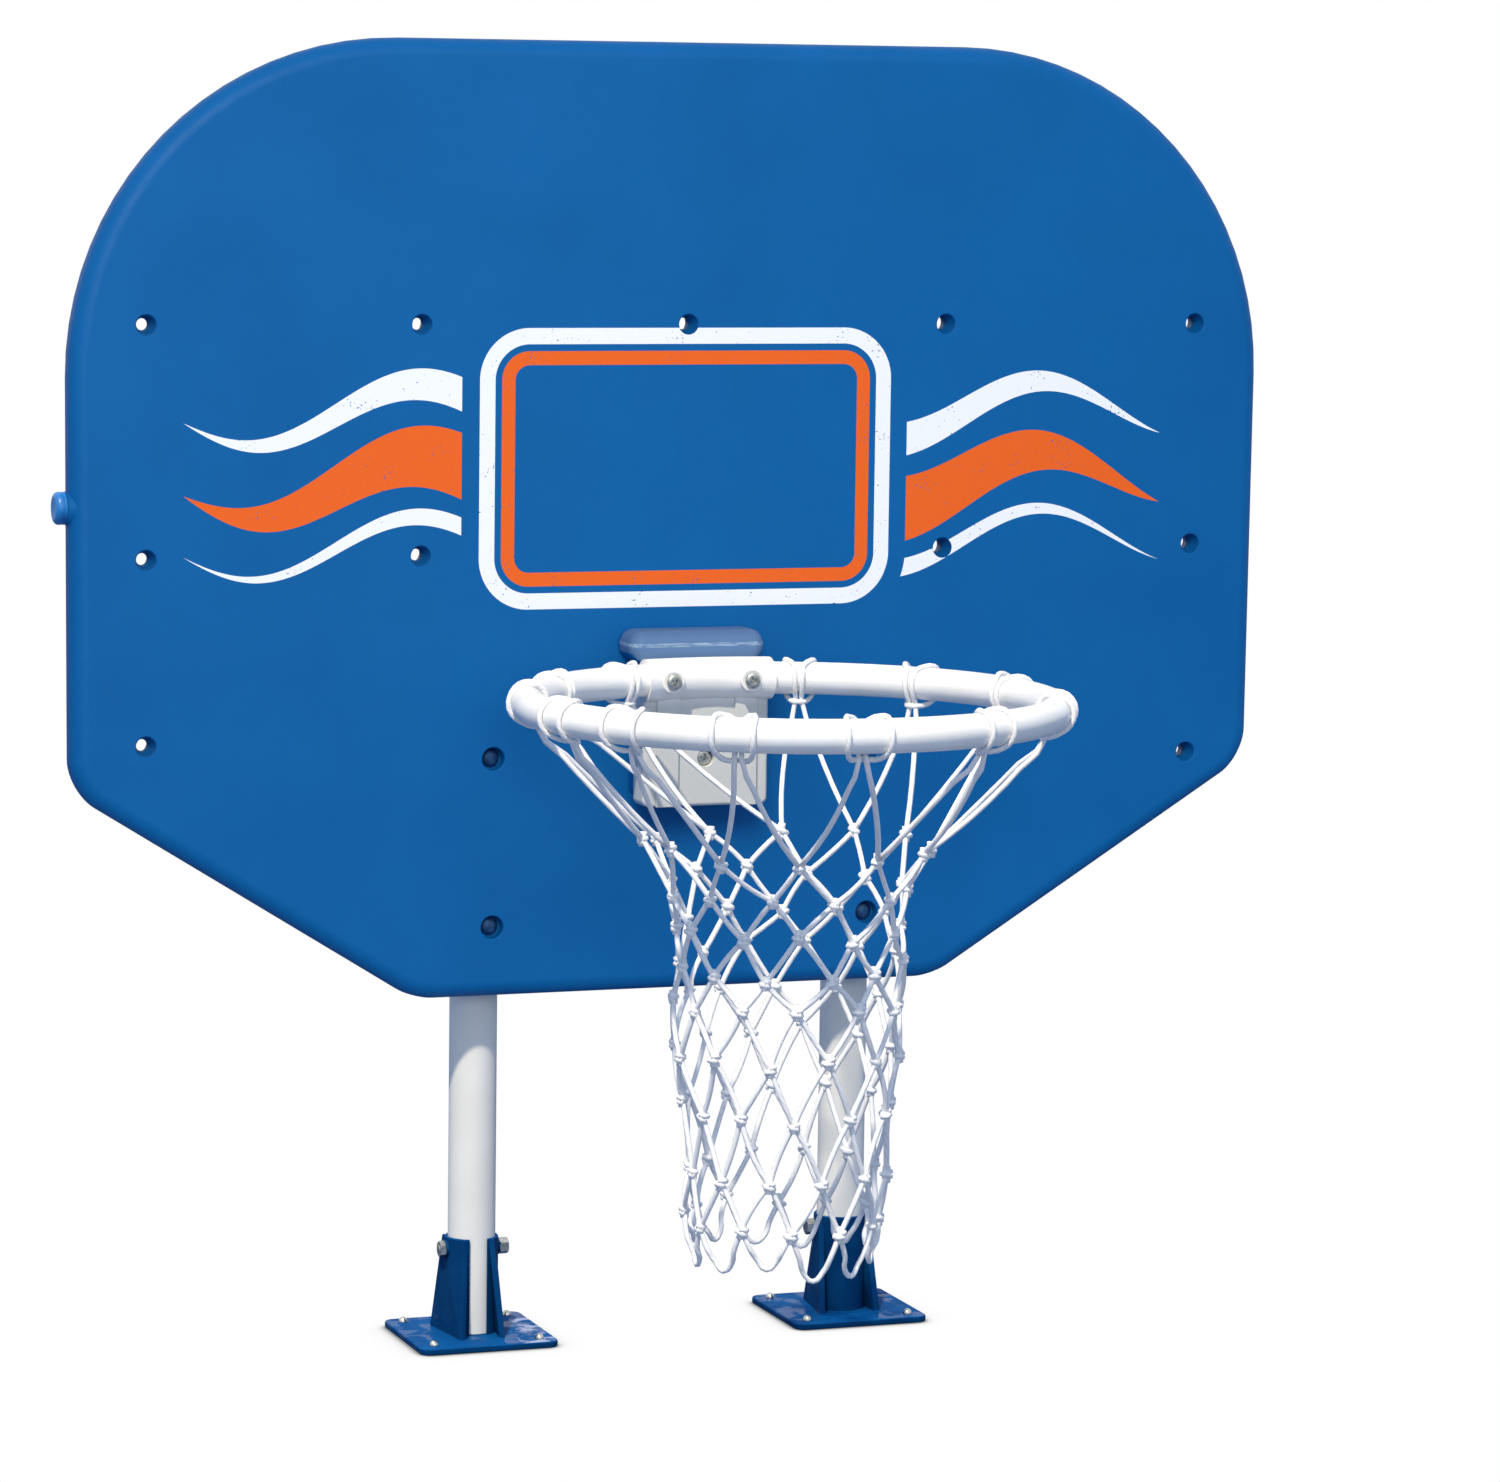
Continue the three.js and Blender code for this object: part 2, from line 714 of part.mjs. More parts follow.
// A wall whose outline lies in Y and Z, its middle at x
function upright(outline, thickness, x) {
  const wall = new THREE.ExtrudeGeometry(outline, { depth: thickness, bevelEnabled: false });
  wall.rotateX(Math.PI / 2);
  wall.rotateZ(Math.PI / 2);
  wall.translate(x - thickness / 2, 0, 0);
  return solid(wall);
}

// Deck socket, slot towards the players: a plate, a split sleeve between two tapering webs, and a
// small closed barrel between ribs on the far side
function deckSocket() {
  const plate = rectangle(plateSide, -plateSide / 2, plateSide / 2, plateCornerRadius);
  const holePlace = plateSide / 2 - plateHoleInset;
  const bore = poleRadius + fitGap;
  const webOutline = new THREE.Shape([
    new THREE.Vector2(-webFootDepth / 2, 0),
    new THREE.Vector2(webFootDepth / 2, 0),
    new THREE.Vector2(webHeadDepth / 2, towerTopZ),
    new THREE.Vector2(-webHeadDepth / 2, towerTopZ),
  ]);
  const ribTop = towerTopZ - crossBoltDrop;
  const barrelY = sleeveRadius;
  const bodies = [
    raised(plate, 0, plateThickness),
    rod(sleeveRadius, 0, towerTopZ, poleSides, 'z', [0, 0, 0]),
    rod(barrelDiameter / 2, 0, ribTop, boltSides, 'z', [0, barrelY - barrelDiameter / 4, 0]),
  ];
  const ribOutline = new THREE.Shape([
    new THREE.Vector2(0, 0),
    new THREE.Vector2(barrelRibDepth, 0),
    new THREE.Vector2(sleeveRadius, ribTop),
    new THREE.Vector2(0, ribTop),
  ]);
  for (const side of [-1, 1]) {
    bodies.push(upright(webOutline, webThickness, side * (webOuterX - webThickness / 2)));
    bodies.push(upright(ribOutline, barrelRibThickness, side * barrelDiameter / 2));
  }
  const crossHole = crossBoltDiameter / 2 + boltHoleClearance;
  const openTop = towerTopZ + cutOverrun;
  const cuts = [
    rod(bore, plateThickness, openTop, poleSides, 'z', [0, 0, 0]),
    box([-slotWidth / 2, -webFootDepth, plateThickness], [slotWidth / 2, 0, openTop]),
    rod(crossHole, -webFootDepth, webFootDepth, boltSides, 'x', [0, 0, crossBoltZ]),
  ];
  const plateHole = plateHoleDiameter / 2;
  const through = plateThickness + cutOverrun;
  for (const x of [-holePlace, holePlace]) {
    for (const y of [-holePlace, holePlace]) {
      cuts.push(rod(plateHole, -cutOverrun, through, boltSides, 'z', [x, y, 0]));
    }
  }
  return cut(joined(bodies), cuts);
}

// Bolt across the socket and pole, its head on the board's middle side
function crossBolt() {
  const seat = webOuterX + fitGap;
  const shank = crossBoltDiameter / 2;
  const tip = seat + nutHeight + boltTip;
  return joined([
    rod(shank, -seat - crossBoltHeadHeight / 2, tip, boltSides, 'x', [0, 0, 0]),
    rod(hexCornerRadius, -seat - crossBoltHeadHeight, -seat, hexSides, 'x', [0, 0, 0]),
  ]);
}

// Cords of four sides fused to their knots, built face by face into one closed body
class CordMesh {
  constructor(cordHalf) {
    this.cordHalf = cordHalf;
    this.points = [];
    this.triangles = [];
  }

  point(...parts) {
    this.points.push(parts.reduce((sum, part) => sum.add(part), new THREE.Vector3()));
    return this.points.length - 1;
  }

  // A square section, its corners anticlockwise when seen from ahead of the cord
  ring(centre, along, outward) {
    const out = outward.clone().addScaledVector(along, -outward.dot(along)).setLength(this.cordHalf);
    const side = along.clone().cross(out);
    return [[1, 1], [-1, 1], [-1, -1], [1, -1]].map(([u, v]) => this.point(
      centre,
      out.clone().multiplyScalar(u),
      side.clone().multiplyScalar(v),
    ));
  }

  // Walls from one four-cornered ring to the next, turned so that the cord isn't twisted
  bridge(from, to) {
    const spread = (turn) => from.reduce((sum, corner, k) => (
      sum + this.points[corner].distanceTo(this.points[to[(k + turn) % 4]])
    ), 0);
    const turn = [0, 1, 2, 3].reduce((best, next) => (spread(next) < spread(best) ? next : best));
    const matched = from.map((_, k) => to[(k + turn) % 4]);
    for (let k = 0; k < 4; k += 1) {
      const next = (k + 1) % 4;
      this.triangles.push(from[k], from[next], matched[next], from[k], matched[next], matched[k]);
    }
    return matched;
  }

  // A diamond-shaped knot with a face for each of the four cords that leave it
  knot(centre, outward, reach, depth) {
    const up = new THREE.Vector3(0, 0, 1);
    const side = up.clone().cross(outward);
    const corner = (across, height) => [depth / 2, -depth / 2].map((far) => this.point(
      centre,
      side.clone().multiplyScalar(across * reach),
      up.clone().multiplyScalar(height * reach),
      outward.clone().multiplyScalar(far),
    ));
    const [top, left, bottom, right] = [corner(0, 1), corner(-1, 0), corner(0, -1), corner(1, 0)];
    this.triangles.push(top[0], left[0], bottom[0], top[0], bottom[0], right[0]);
    this.triangles.push(top[1], bottom[1], left[1], top[1], right[1], bottom[1]);
    const face = (from, to) => [from[0], from[1], to[1], to[0]];
    return {
      centre,
      upLeft: face(top, left),
      downLeft: face(left, bottom),
      downRight: face(bottom, right),
      upRight: face(right, top),
    };
  }

  // A cord from one knot's face to another's through a list of places
  cord(startFace, places, endFace, outwardAt) {
    const middle = (face) => face
      .reduce((sum, corner) => sum.add(this.points[corner]), new THREE.Vector3())
      .divideScalar(face.length);
    const line = [middle(startFace), ...places, middle(endFace)];
    let ring = startFace;
    places.forEach((place, i) => {
      const along = line[i + 2].clone().sub(line[i]).normalize();
      ring = this.bridge(ring, this.ring(place, along, outwardAt(place)));
    });
    this.bridge(ring, [...endFace].reverse());
  }

  geometry() {
    const geometry = new THREE.BufferGeometry().setFromPoints(this.points);
    geometry.setIndex(this.triangles);
    geometry.computeVertexNormals();
    return geometry;
  }
}

function netPoint(degrees, radius, z) {
  const angle = THREE.MathUtils.degToRad(degrees);
  return new THREE.Vector3(radius * Math.cos(angle), rimCentreY + radius * Math.sin(angle), z);
}

function awayFromAxis(place) {
  return new THREE.Vector3(place.x, place.y - rimCentreY, 0).normalize();
}

// A hitch from a tie's knot up the outside of the rim tube, over it and down the inside
function rimHitch(net, tie, degrees, cordHalf) {
  const startAngle = THREE.MathUtils.degToRad(hitchStartDegrees - 90);
  const sweep = 2 * Math.PI - 2 * THREE.MathUtils.degToRad(hitchStartDegrees);
  const loopRadius = (rimTubeRadius + rimSag + netGap + cordHalf) / Math.cos(sweep / loopSteps / 2);
  const outward = awayFromAxis(tie.centre);
  const tubeMiddle = netPoint(degrees, rimRadius, rimZ);
  const across = new THREE.Vector3(0, 0, 1).cross(outward);
  const places = [];
  for (let step = 0; step <= loopSteps; step += 1) {
    const angle = startAngle + sweep * step / loopSteps;
    places.push(tubeMiddle.clone()
      .addScaledVector(outward, loopRadius * Math.cos(angle))
      .addScaledVector(new THREE.Vector3(0, 0, 1), loopRadius * Math.sin(angle))
      .addScaledVector(across, hitchSpread * (0.5 - step / loopSteps)));
  }
  net.cord(tie.upRight, places, tie.upLeft, (place) => place.clone().sub(tubeMiddle));
}

// Net: a hitch round the rim at each tie, rings of knots that spread and draw in, and loose loops
function cordNet() {
  const cordHalf = netCordDiameter * Math.sqrt(Math.PI) / 4;
  const net = new CordMesh(cordHalf);
  const count = tieDegrees.length;
  const pitch = 360 / count;
  const reach = knotDiameter / 2;
  const topZ = rimZ - rimTubeRadius - rimSag - tieGap - reach;
  const knotAt = (degrees, radius, z) => {
    const centre = netPoint(degrees, radius, z);
    return net.knot(centre, awayFromAxis(centre), reach, knotDepth);
  };
  const rows = [tieDegrees.map((degrees) => knotAt(degrees, rimRadius, topZ))];
  rowDropShare.forEach((share, row) => {
    const shift = row % 2 === 0 ? pitch / 2 : 0;
    rows.push(tieDegrees.map((_, column) => knotAt(
      column * pitch + shift,
      rowRadiusShare[row] * rimRadius,
      topZ - share * netLength,
    )));
  });
  tieDegrees.forEach((degrees, column) => rimHitch(net, rows[0][column], degrees, cordHalf));

  const tapered = (upper, lower) => {
    const way = lower.centre.clone().sub(upper.centre).normalize();
    return [
      upper.centre.clone().addScaledVector(way, knotTaper),
      lower.centre.clone().addScaledVector(way, -knotTaper),
    ];
  };
  for (let row = 0; row < rowDropShare.length; row += 1) {
    const below = rows[row + 1];
    const offset = row % 2 === 0 ? 0 : 1;
    rows[row].forEach((upper, column) => {
      const right = below[(column + offset) % count];
      const left = below[(column + offset + count - 1) % count];
      net.cord(upper.downRight, tapered(upper, right), right.upLeft, awayFromAxis);
      net.cord(upper.downLeft, tapered(upper, left), left.upRight, awayFromAxis);
    });
  }

  const lastRow = rows.at(-1);
  const lastShift = rowDropShare.length % 2 === 0 ? 0 : pitch / 2;
  const lastDrop = rowDropShare.at(-1) * netLength;
  const endRadius = endRadiusShare * rimRadius;
  const shoulderZ = topZ - lastDrop - (netLength - lastDrop) * loopShoulderShare;
  const bottomZ = topZ - netLength + cordHalf;
  lastRow.forEach((knot, column) => {
    const neighbour = lastRow[(column + 1) % count];
    const middle = column * pitch + lastShift + pitch / 2;
    const places = [
      netPoint(middle - pitch * loopWidthShare / 2, endRadius, shoulderZ),
      netPoint(middle - pitch * loopWidthShare / 4, endRadius, bottomZ),
      netPoint(middle + pitch * loopWidthShare / 4, endRadius, bottomZ),
      netPoint(middle + pitch * loopWidthShare / 2, endRadius, shoulderZ),
    ];
    net.cord(knot.downRight, places, neighbour.downLeft, awayFromAxis);
  });
  return net.geometry();
}

// The assembly
piece('backboard', backboard(), 'blue');
piece('side_plug', sidePlug(), 'blue');
piece('plug_seal', plugSeal(), 'seal');
piece('rim_bracket', rimBracket(), 'white');
piece('rim_ring', rimRing(), 'white');
piece('net', cordNet(), 'cord');
for (const [place, x, z, seat] of bracketScrewPlaces()) {
  piece(`bracket_screw_${place}`, bracketScrew(x, z, seat), 'zinc');
  piece(`threaded_insert_${place}`, threadedInsert(x, z), 'brass');
}
for (const [place, x, z] of boardBoltPlaces()) {
  const nutFaceY = washerFaceY + washerThickness + fitGap;
  piece(`board_bolt_${place}`, boardBolt(x, z), 'zinc');
  piece(`pole_washer_${place}`, poleWasher(x, z), 'zinc');
  piece(`board_nut_${place}`, hexNut(boardBoltDiameter, nutFaceY, 'y', [x, 0, z]), 'zinc');
}
const socketBody = deckSocket();
const crossBoltBody = crossBolt();
const crossNutBody = hexNut(crossBoltDiameter, webOuterX + fitGap, 'x', [0, 0, 0]);
for (const [side, x, turn] of [['left', -poleX, 0], ['right', poleX, Math.PI]]) {
  piece(`pole_${side}`, pole(x), 'pipe');
  piece(`pole_cap_${side}`, poleCap(x), 'white');
  const socket = piece(`deck_socket_${side}`, socketBody, 'deepBlue');
  socket.position.set(x, poleY, 0);
  socket.rotation.z = turn;
  const bolt = piece(`cross_bolt_${side}`, crossBoltBody, 'zinc');
  bolt.position.set(x, poleY, crossBoltZ);
  bolt.rotation.z = Math.PI - turn;
  const nut = piece(`cross_nut_${side}`, crossNutBody, 'zinc');
  nut.position.copy(bolt.position);
  nut.rotation.copy(bolt.rotation);
}

// The origin is the middle of the bounding box's bottom
const bounds = new THREE.Box3().setFromObject(hoop, true);
const middle = bounds.getCenter(new THREE.Vector3());
hoop.position.set(-middle.x, -middle.y, -bounds.min.z);

export default hoop;
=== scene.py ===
import math
import random

import bmesh
import bpy
from mathutils import Matrix, Vector


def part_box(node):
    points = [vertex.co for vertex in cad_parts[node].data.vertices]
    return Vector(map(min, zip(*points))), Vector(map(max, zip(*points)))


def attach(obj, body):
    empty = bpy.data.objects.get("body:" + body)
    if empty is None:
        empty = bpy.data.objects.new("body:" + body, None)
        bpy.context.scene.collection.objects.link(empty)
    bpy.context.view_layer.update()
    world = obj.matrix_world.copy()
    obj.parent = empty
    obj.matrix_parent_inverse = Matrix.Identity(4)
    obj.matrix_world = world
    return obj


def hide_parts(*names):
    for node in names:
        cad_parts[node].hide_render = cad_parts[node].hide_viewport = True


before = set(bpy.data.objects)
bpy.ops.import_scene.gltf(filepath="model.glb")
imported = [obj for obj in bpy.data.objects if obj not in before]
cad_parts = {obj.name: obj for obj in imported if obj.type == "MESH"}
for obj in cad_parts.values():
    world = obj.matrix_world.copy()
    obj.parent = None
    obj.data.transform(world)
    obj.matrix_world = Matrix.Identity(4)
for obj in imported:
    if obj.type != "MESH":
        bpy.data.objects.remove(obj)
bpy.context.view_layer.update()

# Backboard: a hollow moulding of blue polyethylene with round shoulders and slanted flanks. Its
# front and back walls are moulded together at waisted holes, and a seat and a hood for the
# rim's bracket stand proud of the front. The front is screen printed in white and orange.
top_half = 0.550
flank_half = 0.5475
board_height = 0.831
board_depth = 0.036
board_edge = 0.015
board_wall = 0.004
board_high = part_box("backboard")[1]
poles_middle = (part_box("pole_left")[0].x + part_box("pole_right")[1].x) / 2
clearance = 0.0003
board_top = board_high.z
board_foot = board_top - board_height
flank_foot = board_foot + 0.190
home = Vector((poles_middle, board_high.y - board_depth, 0))
rim_height = board_top - 0.549
pole_x = 0.175
pole_radius = 0.0211
trough_bite = 0.003
pole_y = board_depth - trough_bite + clearance + pole_radius


def linear(red, green, blue):
    """A colour given from 0 to 255 per channel, as the shader's linear colour."""
    return tuple(
        c / 255 / 12.92 if c / 255 <= 0.04045 else ((c / 255 + 0.055) / 1.055) ** 2.4
        for c in (red, green, blue)
    ) + (1,)


def rounded_plate(corners, front, back, edge, corner_steps=12, edge_steps=6):
    """A closed plate from y = front to y = back with a rounded edge. A corner is (x, z, radius)."""
    plate = bmesh.new()
    points = [plate.verts.new((x, front, z)) for x, z, _ in corners]
    plate.faces.new(points)
    for k, (x, z, radius) in enumerate(corners):
        ahead, behind = corners[(k + 1) % len(corners)], corners[k - 1]
        arms = [Vector((other[0] - x, other[1] - z)) for other in (ahead, behind)]
        run = radius / math.tan(arms[0].angle(arms[1]) / 2)
        bmesh.ops.bevel(
            plate, geom=[points[k]], offset=run, offset_type="OFFSET", affect="VERTICES",
            segments=corner_steps, profile=0.5, material=-1,
        )
    grown = bmesh.ops.extrude_face_region(plate, geom=plate.faces[:])["geom"]
    moved = [part for part in grown if isinstance(part, bmesh.types.BMVert)]
    bmesh.ops.translate(plate, verts=moved, vec=(0, back - front, 0))
    bmesh.ops.recalc_face_normals(plate, faces=plate.faces[:])
    if edge:
        rims = [e for e in plate.edges if abs(e.verts[0].co.y - e.verts[1].co.y) < 1e-6]
        bmesh.ops.bevel(
            plate, geom=rims, offset=edge, offset_type="OFFSET", affect="EDGES",
            segments=edge_steps, profile=0.5, material=-1,
        )
    return plate


def inset(corners, distance):
    """The outline that runs this far inside another one."""
    inner = []
    for k, (x, z, radius) in enumerate(corners):
        ahead, behind = corners[(k + 1) % len(corners)], corners[k - 1]
        arms = [Vector((other[0] - x, other[1] - z)).normalized() for other in (ahead, behind)]
        step = (arms[0] + arms[1]).normalized() * distance / math.sin(arms[0].angle(arms[1]) / 2)
        inner.append((x + step.x, z + step.y, radius - distance))
    return inner


def rectangle(width, low, high, radius):
    half = width / 2
    return [(-half, low, radius), (half, low, radius), (half, high, radius), (-half, high, radius)]


def turned(profile, axis, place, steps=32):
    """A closed solid of revolution. The profile's points are (radius, distance along the axis)."""
    shape = bmesh.new()
    chain = [shape.verts.new((radius, 0, along)) for radius, along in profile]
    edges = [shape.edges.new(pair) for pair in zip(chain, chain[1:])]
    bmesh.ops.spin(
        shape, geom=chain + edges, cent=(0, 0, 0), axis=(0, 0, 1), angle=2 * math.pi,
        steps=steps, use_merge=True,
    )
    bmesh.ops.remove_doubles(shape, verts=shape.verts[:], dist=1e-6)
    bmesh.ops.recalc_face_normals(shape, faces=shape.faces[:])
    turns = {"x": Matrix.Rotation(math.pi / 2, 4, "Y"), "y": Matrix.Rotation(-math.pi / 2, 4, "X")}
    bmesh.ops.transform(
        shape, verts=shape.verts[:], matrix=Matrix.Translation(place) @ turns.get(axis, Matrix())
    )
    return shape


def rod(radius, start, end, axis, place, steps=32):
    return turned([(0, start), (radius, start), (radius, end), (0, end)], axis, place, steps)


def block(low, high):
    """A plain box between two corners, for cutting and joining."""
    shape = bmesh.new()
    size = [b - a for a, b in zip(low, high)]
    middle = [(a + b) / 2 for a, b in zip(low, high)]
    bmesh.ops.create_cube(
        shape, size=1, matrix=Matrix.Translation(middle) @ Matrix.Diagonal((*size, 1))
    )
    return shape


def as_object(name, shape):
    mesh = bpy.data.meshes.new(name)
    shape.to_mesh(mesh)
    shape.free()
    body = bpy.data.objects.new(name, mesh)
    bpy.context.scene.collection.objects.link(body)
    return body


def applied(body):
    """Makes what a body's modifiers show its own mesh."""
    shown = body.evaluated_get(bpy.context.evaluated_depsgraph_get())
    mesh = bpy.data.meshes.new_from_object(shown)
    body.modifiers.clear()
    body.data = mesh
    return body


def worked(body, operation, shapes):
    """A body with these shapes joined on (UNION), cut out (DIFFERENCE) or kept (INTERSECT)."""
    tools = [s if isinstance(s, bpy.types.Object) else as_object("tool", s) for s in shapes]
    for tool in tools:
        step = body.modifiers.new("step", "BOOLEAN")
        step.operation = operation
        step.solver = "EXACT"
        step.object = tool
    applied(body)
    for tool in tools:
        bpy.data.objects.remove(tool)
    return body


def fitted(body, material, rides_on, stands_for, crease=32, turn=0, place=home):
    """Gives a finished body its place, finish and smooth shading, and hides the CAD parts that it
    stands for.
    """
    body.data.transform(Matrix.Translation(place) @ Matrix.Rotation(turn, 4, "Z"))
    body.data.materials.clear()
    body.data.materials.append(material)
    body.data.shade_smooth()
    body.data.set_sharp_from_angle(angle=math.radians(crease))
    shading = body.modifiers.new("even shading", "WEIGHTED_NORMAL")
    shading.keep_sharp = True
    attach(body, rides_on)
    if stands_for:
        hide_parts(*stands_for)
    return body


def new_finish(name, colour, roughness, **sockets):
    """A material that starts plain. Returns it with its surface shader."""
    material = bpy.data.materials.new(name)
    material.use_nodes = True
    surface = material.node_tree.nodes["Principled BSDF"]
    surface.inputs["Base Color"].default_value = colour
    surface.inputs["Roughness"].default_value = roughness
    for socket, value in sockets.items():
        surface.inputs[socket.replace("_", " ")].default_value = value
    return material, surface


def node(material, kind, feeds, **settings):
    """A shader node. feeds pairs a socket with a value, or with the socket that it is wired to."""
    made = material.node_tree.nodes.new("ShaderNode" + kind)
    for setting, value in settings.items():
        setattr(made, setting, value)
    for socket, value in feeds.items():
        if isinstance(value, bpy.types.NodeSocket):
            material.node_tree.links.new(value, made.inputs[socket])
        else:
            made.inputs[socket].default_value = value
    return made


def wire(material, start, end):
    material.node_tree.links.new(start, end)


def math_node(material, operation, *values):
    feeds = dict(enumerate(values))
    return node(material, "Math", feeds, operation=operation).outputs[0]


def mixed(material, share, first, second):
    """Two colours mixed by a share."""
    blend = node(material, "Mix", {0: share, 6: first, 7: second}, data_type="RGBA")
    return blend.outputs[2]


def noise(material, place, scale, detail=2.0):
    feeds = {"Vector": place, "Scale": scale, "Detail": detail}
    return node(material, "TexNoise", feeds).outputs["Fac"]


def ramped(material, value, low, high, to_low=0.0, to_high=1.0):
    """A value brought from one range to another and kept inside it."""
    feeds = {"Value": value, "From Min": low, "From Max": high, "To Min": to_low, "To Max": to_high}
    return node(material, "MapRange", feeds).outputs["Result"]


def grained(material, surface, height, distance, strength=1.0):
    """Wires a height into the surface's bump."""
    bump = node(material, "Bump", {"Height": height, "Distance": distance, "Strength": strength})
    wire(material, bump.outputs["Normal"], surface.inputs["Normal"])


hole_mouth = 0.0086
hole_waist = 0.005
hole_lip = 0.0015
overshoot = 0.002
hole_spacing = 0.242
top_row = board_top - 0.244
middle_row = board_top - 0.443
low_hole_left = board_top - 0.602
low_hole_right = board_top - 0.633
hole_places = [(column * hole_spacing, top_row) for column in (-2, -1, 0, 1, 2)]
hole_places += [(column * hole_spacing, middle_row) for column in (-2, -1, 1, 2)]
hole_places += [(-2 * hole_spacing, low_hole_left), (2 * hole_spacing, low_hole_right)]
recess_radius = 0.010
recess_depth = 0.012
bolt_bore = 0.0044
bolt_places = {
    f"{side}_{level}": (x, board_foot + rise)
    for side, x in (("left", -pole_x), ("right", pole_x))
    for level, rise in (("low", 0.062), ("high", 0.210))
}
screw_x = 0.036
lower_screw = rim_height - 0.069
screw_bore = 0.0034
screw_places = {
    "upper_left": (-screw_x, rim_height),
    "upper_right": (screw_x, rim_height),
    "lower": (0, lower_screw),
}


def lip(radius, depth, turn_in, steps=4):
    """Profile points of a rounded mouth, from just outside the face inwards to the bore."""
    points = [(radius + hole_lip, depth - turn_in * clearance)]
    for k in range(1, steps + 1):
        angle = math.pi / 2 * k / steps
        out = hole_lip * (1 - math.sin(angle))
        points.append((radius + out, depth + turn_in * hole_lip * (1 - math.cos(angle))))
    return points


def waisted():
    """Profile of a hole through the board that narrows at mid depth."""
    profile = [(0, -overshoot), (hole_mouth + hole_lip, -overshoot)] + lip(hole_mouth, 0, 1)
    span = board_depth - 2 * hole_lip
    steps = 12
    for k in range(1, steps):
        swing = (1 + math.cos(2 * math.pi * k / steps)) / 2
        radius = hole_waist + (hole_mouth - hole_waist) * swing
        profile.append((radius, hole_lip + span * k / steps))
    profile += reversed(lip(hole_mouth, board_depth, -1))
    beyond = board_depth + overshoot
    return profile + [(hole_mouth + hole_lip, beyond), (0, beyond)]


foot_half = 0.243
foot_round = 0.060
flank_round = 0.050
shoulder_round = 0.288
board_outline = [
    (-foot_half, board_foot, foot_round),
    (foot_half, board_foot, foot_round),
    (flank_half, flank_foot, flank_round),
    (top_half, board_top, shoulder_round),
    (-top_half, board_top, shoulder_round),
    (-flank_half, flank_foot, flank_round),
]
seat_low, seat_high = rim_height - 0.107, rim_height + 0.0215
hood_low, hood_high = rim_height + 0.0125, rim_height + 0.040
plug_height = board_top - 0.399
plug_rise = (plug_height - flank_foot) / (board_top - flank_foot)
plug_seat = -(flank_half + (top_half - flank_half) * plug_rise) - 0.002
plug_place = (0, board_depth / 2, plug_height)
seat_width = 0.102
seat_face = -0.032
hood_width = 0.124
hood_face = -0.038
proud_root = 0.018
collar_radius = 0.0145
collar_end = plug_seat + 0.017

board = as_object("board_moulding", rounded_plate(board_outline, 0, board_depth, board_edge, 20, 8))
worked(board, "UNION", [
    rounded_plate(rectangle(seat_width, seat_low, seat_high, 0.008),
                  seat_face, proud_root, 0.005, 6, 5),
    rounded_plate(rectangle(hood_width, hood_low, hood_high, 0.0125),
                  hood_face, proud_root, 0.011, 8, 8),
    turned([(0, plug_seat), (0.0135, plug_seat), (collar_radius, plug_seat + 0.001),
            (collar_radius, collar_end), (0, collar_end)], "x", plug_place, 48),
])
cavity = as_object("cavity", rounded_plate(
    inset(board_outline, board_wall), board_wall, board_depth - board_wall, 0.010, 8, 2,
))
trough_radius = pole_radius + clearance
worked(cavity, "DIFFERENCE", [
    rod(hole_mouth + board_wall, 0, board_depth, "y", (x, 0, z), 16) for x, z in hole_places
] + [
    rod(recess_radius + board_wall, 0, board_depth, "y", (x, 0, z), 16)
    for x, z in bolt_places.values()
] + [
    rod(trough_radius + board_wall, 0.25, 0.632, "z", (x, pole_y, 0), 32) for x in (-pole_x, pole_x)
] + [
    rod(0.015, -0.56, -0.53, "x", plug_place, 24),
])
worked(board, "DIFFERENCE", [cavity])
worked(board, "DIFFERENCE", [
    turned(waisted(), "y", (x, 0, z), 40) for x, z in hole_places
])
worked(board, "DIFFERENCE", [
    rod(trough_radius, 0.25, 0.6267, "z", (x, pole_y, 0), 64) for x in (-pole_x, pole_x)
])
for x, z in bolt_places.values():
    recess = [(0, -overshoot), (recess_radius + hole_lip, -overshoot)] + lip(recess_radius, 0, 1)
    recess += [(recess_radius, 0.0115), (0.0095, recess_depth), (bolt_bore, recess_depth),
               (bolt_bore, 0.040), (0, 0.040)]
    worked(board, "DIFFERENCE", [turned(recess, "y", (x, 0, z), 40)])
worked(board, "DIFFERENCE", [
    rod(0.0058, -0.034, -0.0187, "y", (x, 0, z), 24) for x, z in screw_places.values()
] + [
    rod(0.011, plug_seat - overshoot, plug_seat + 0.034, "x", plug_place, 48),
])

board_blue, board_surface = new_finish(
    "board_blue", linear(10, 99, 170), 0.5, Specular_IOR_Level=0.15
)
spot = node(board_blue, "TexCoord", {}).outputs["Object"]
centred = node(board_blue, "Mapping", {"Vector": spot, "Location": -home}).outputs["Vector"]
axes = node(board_blue, "SeparateXYZ", {0: centred}).outputs
across, depth, height = axes["X"], axes["Y"], axes["Z"]

wave_length = 0.29
wave_swing = 0.026
wave_height = 0.762
phase = math_node(board_blue, "MULTIPLY_ADD", across, 2 * math.pi / wave_length, 0.6)
crest = math_node(board_blue, "MULTIPLY", math_node(board_blue, "SINE", phase), wave_swing)
above = math_node(board_blue, "SUBTRACT", height, crest)
above = math_node(board_blue, "SUBTRACT", above, wave_height)
wave_reach = 0.452
reach = math_node(board_blue, "DIVIDE", math_node(board_blue, "ABSOLUTE", across), wave_reach)
taper = math_node(board_blue, "SUBTRACT", 1, math_node(board_blue, "POWER", reach, 2.6))


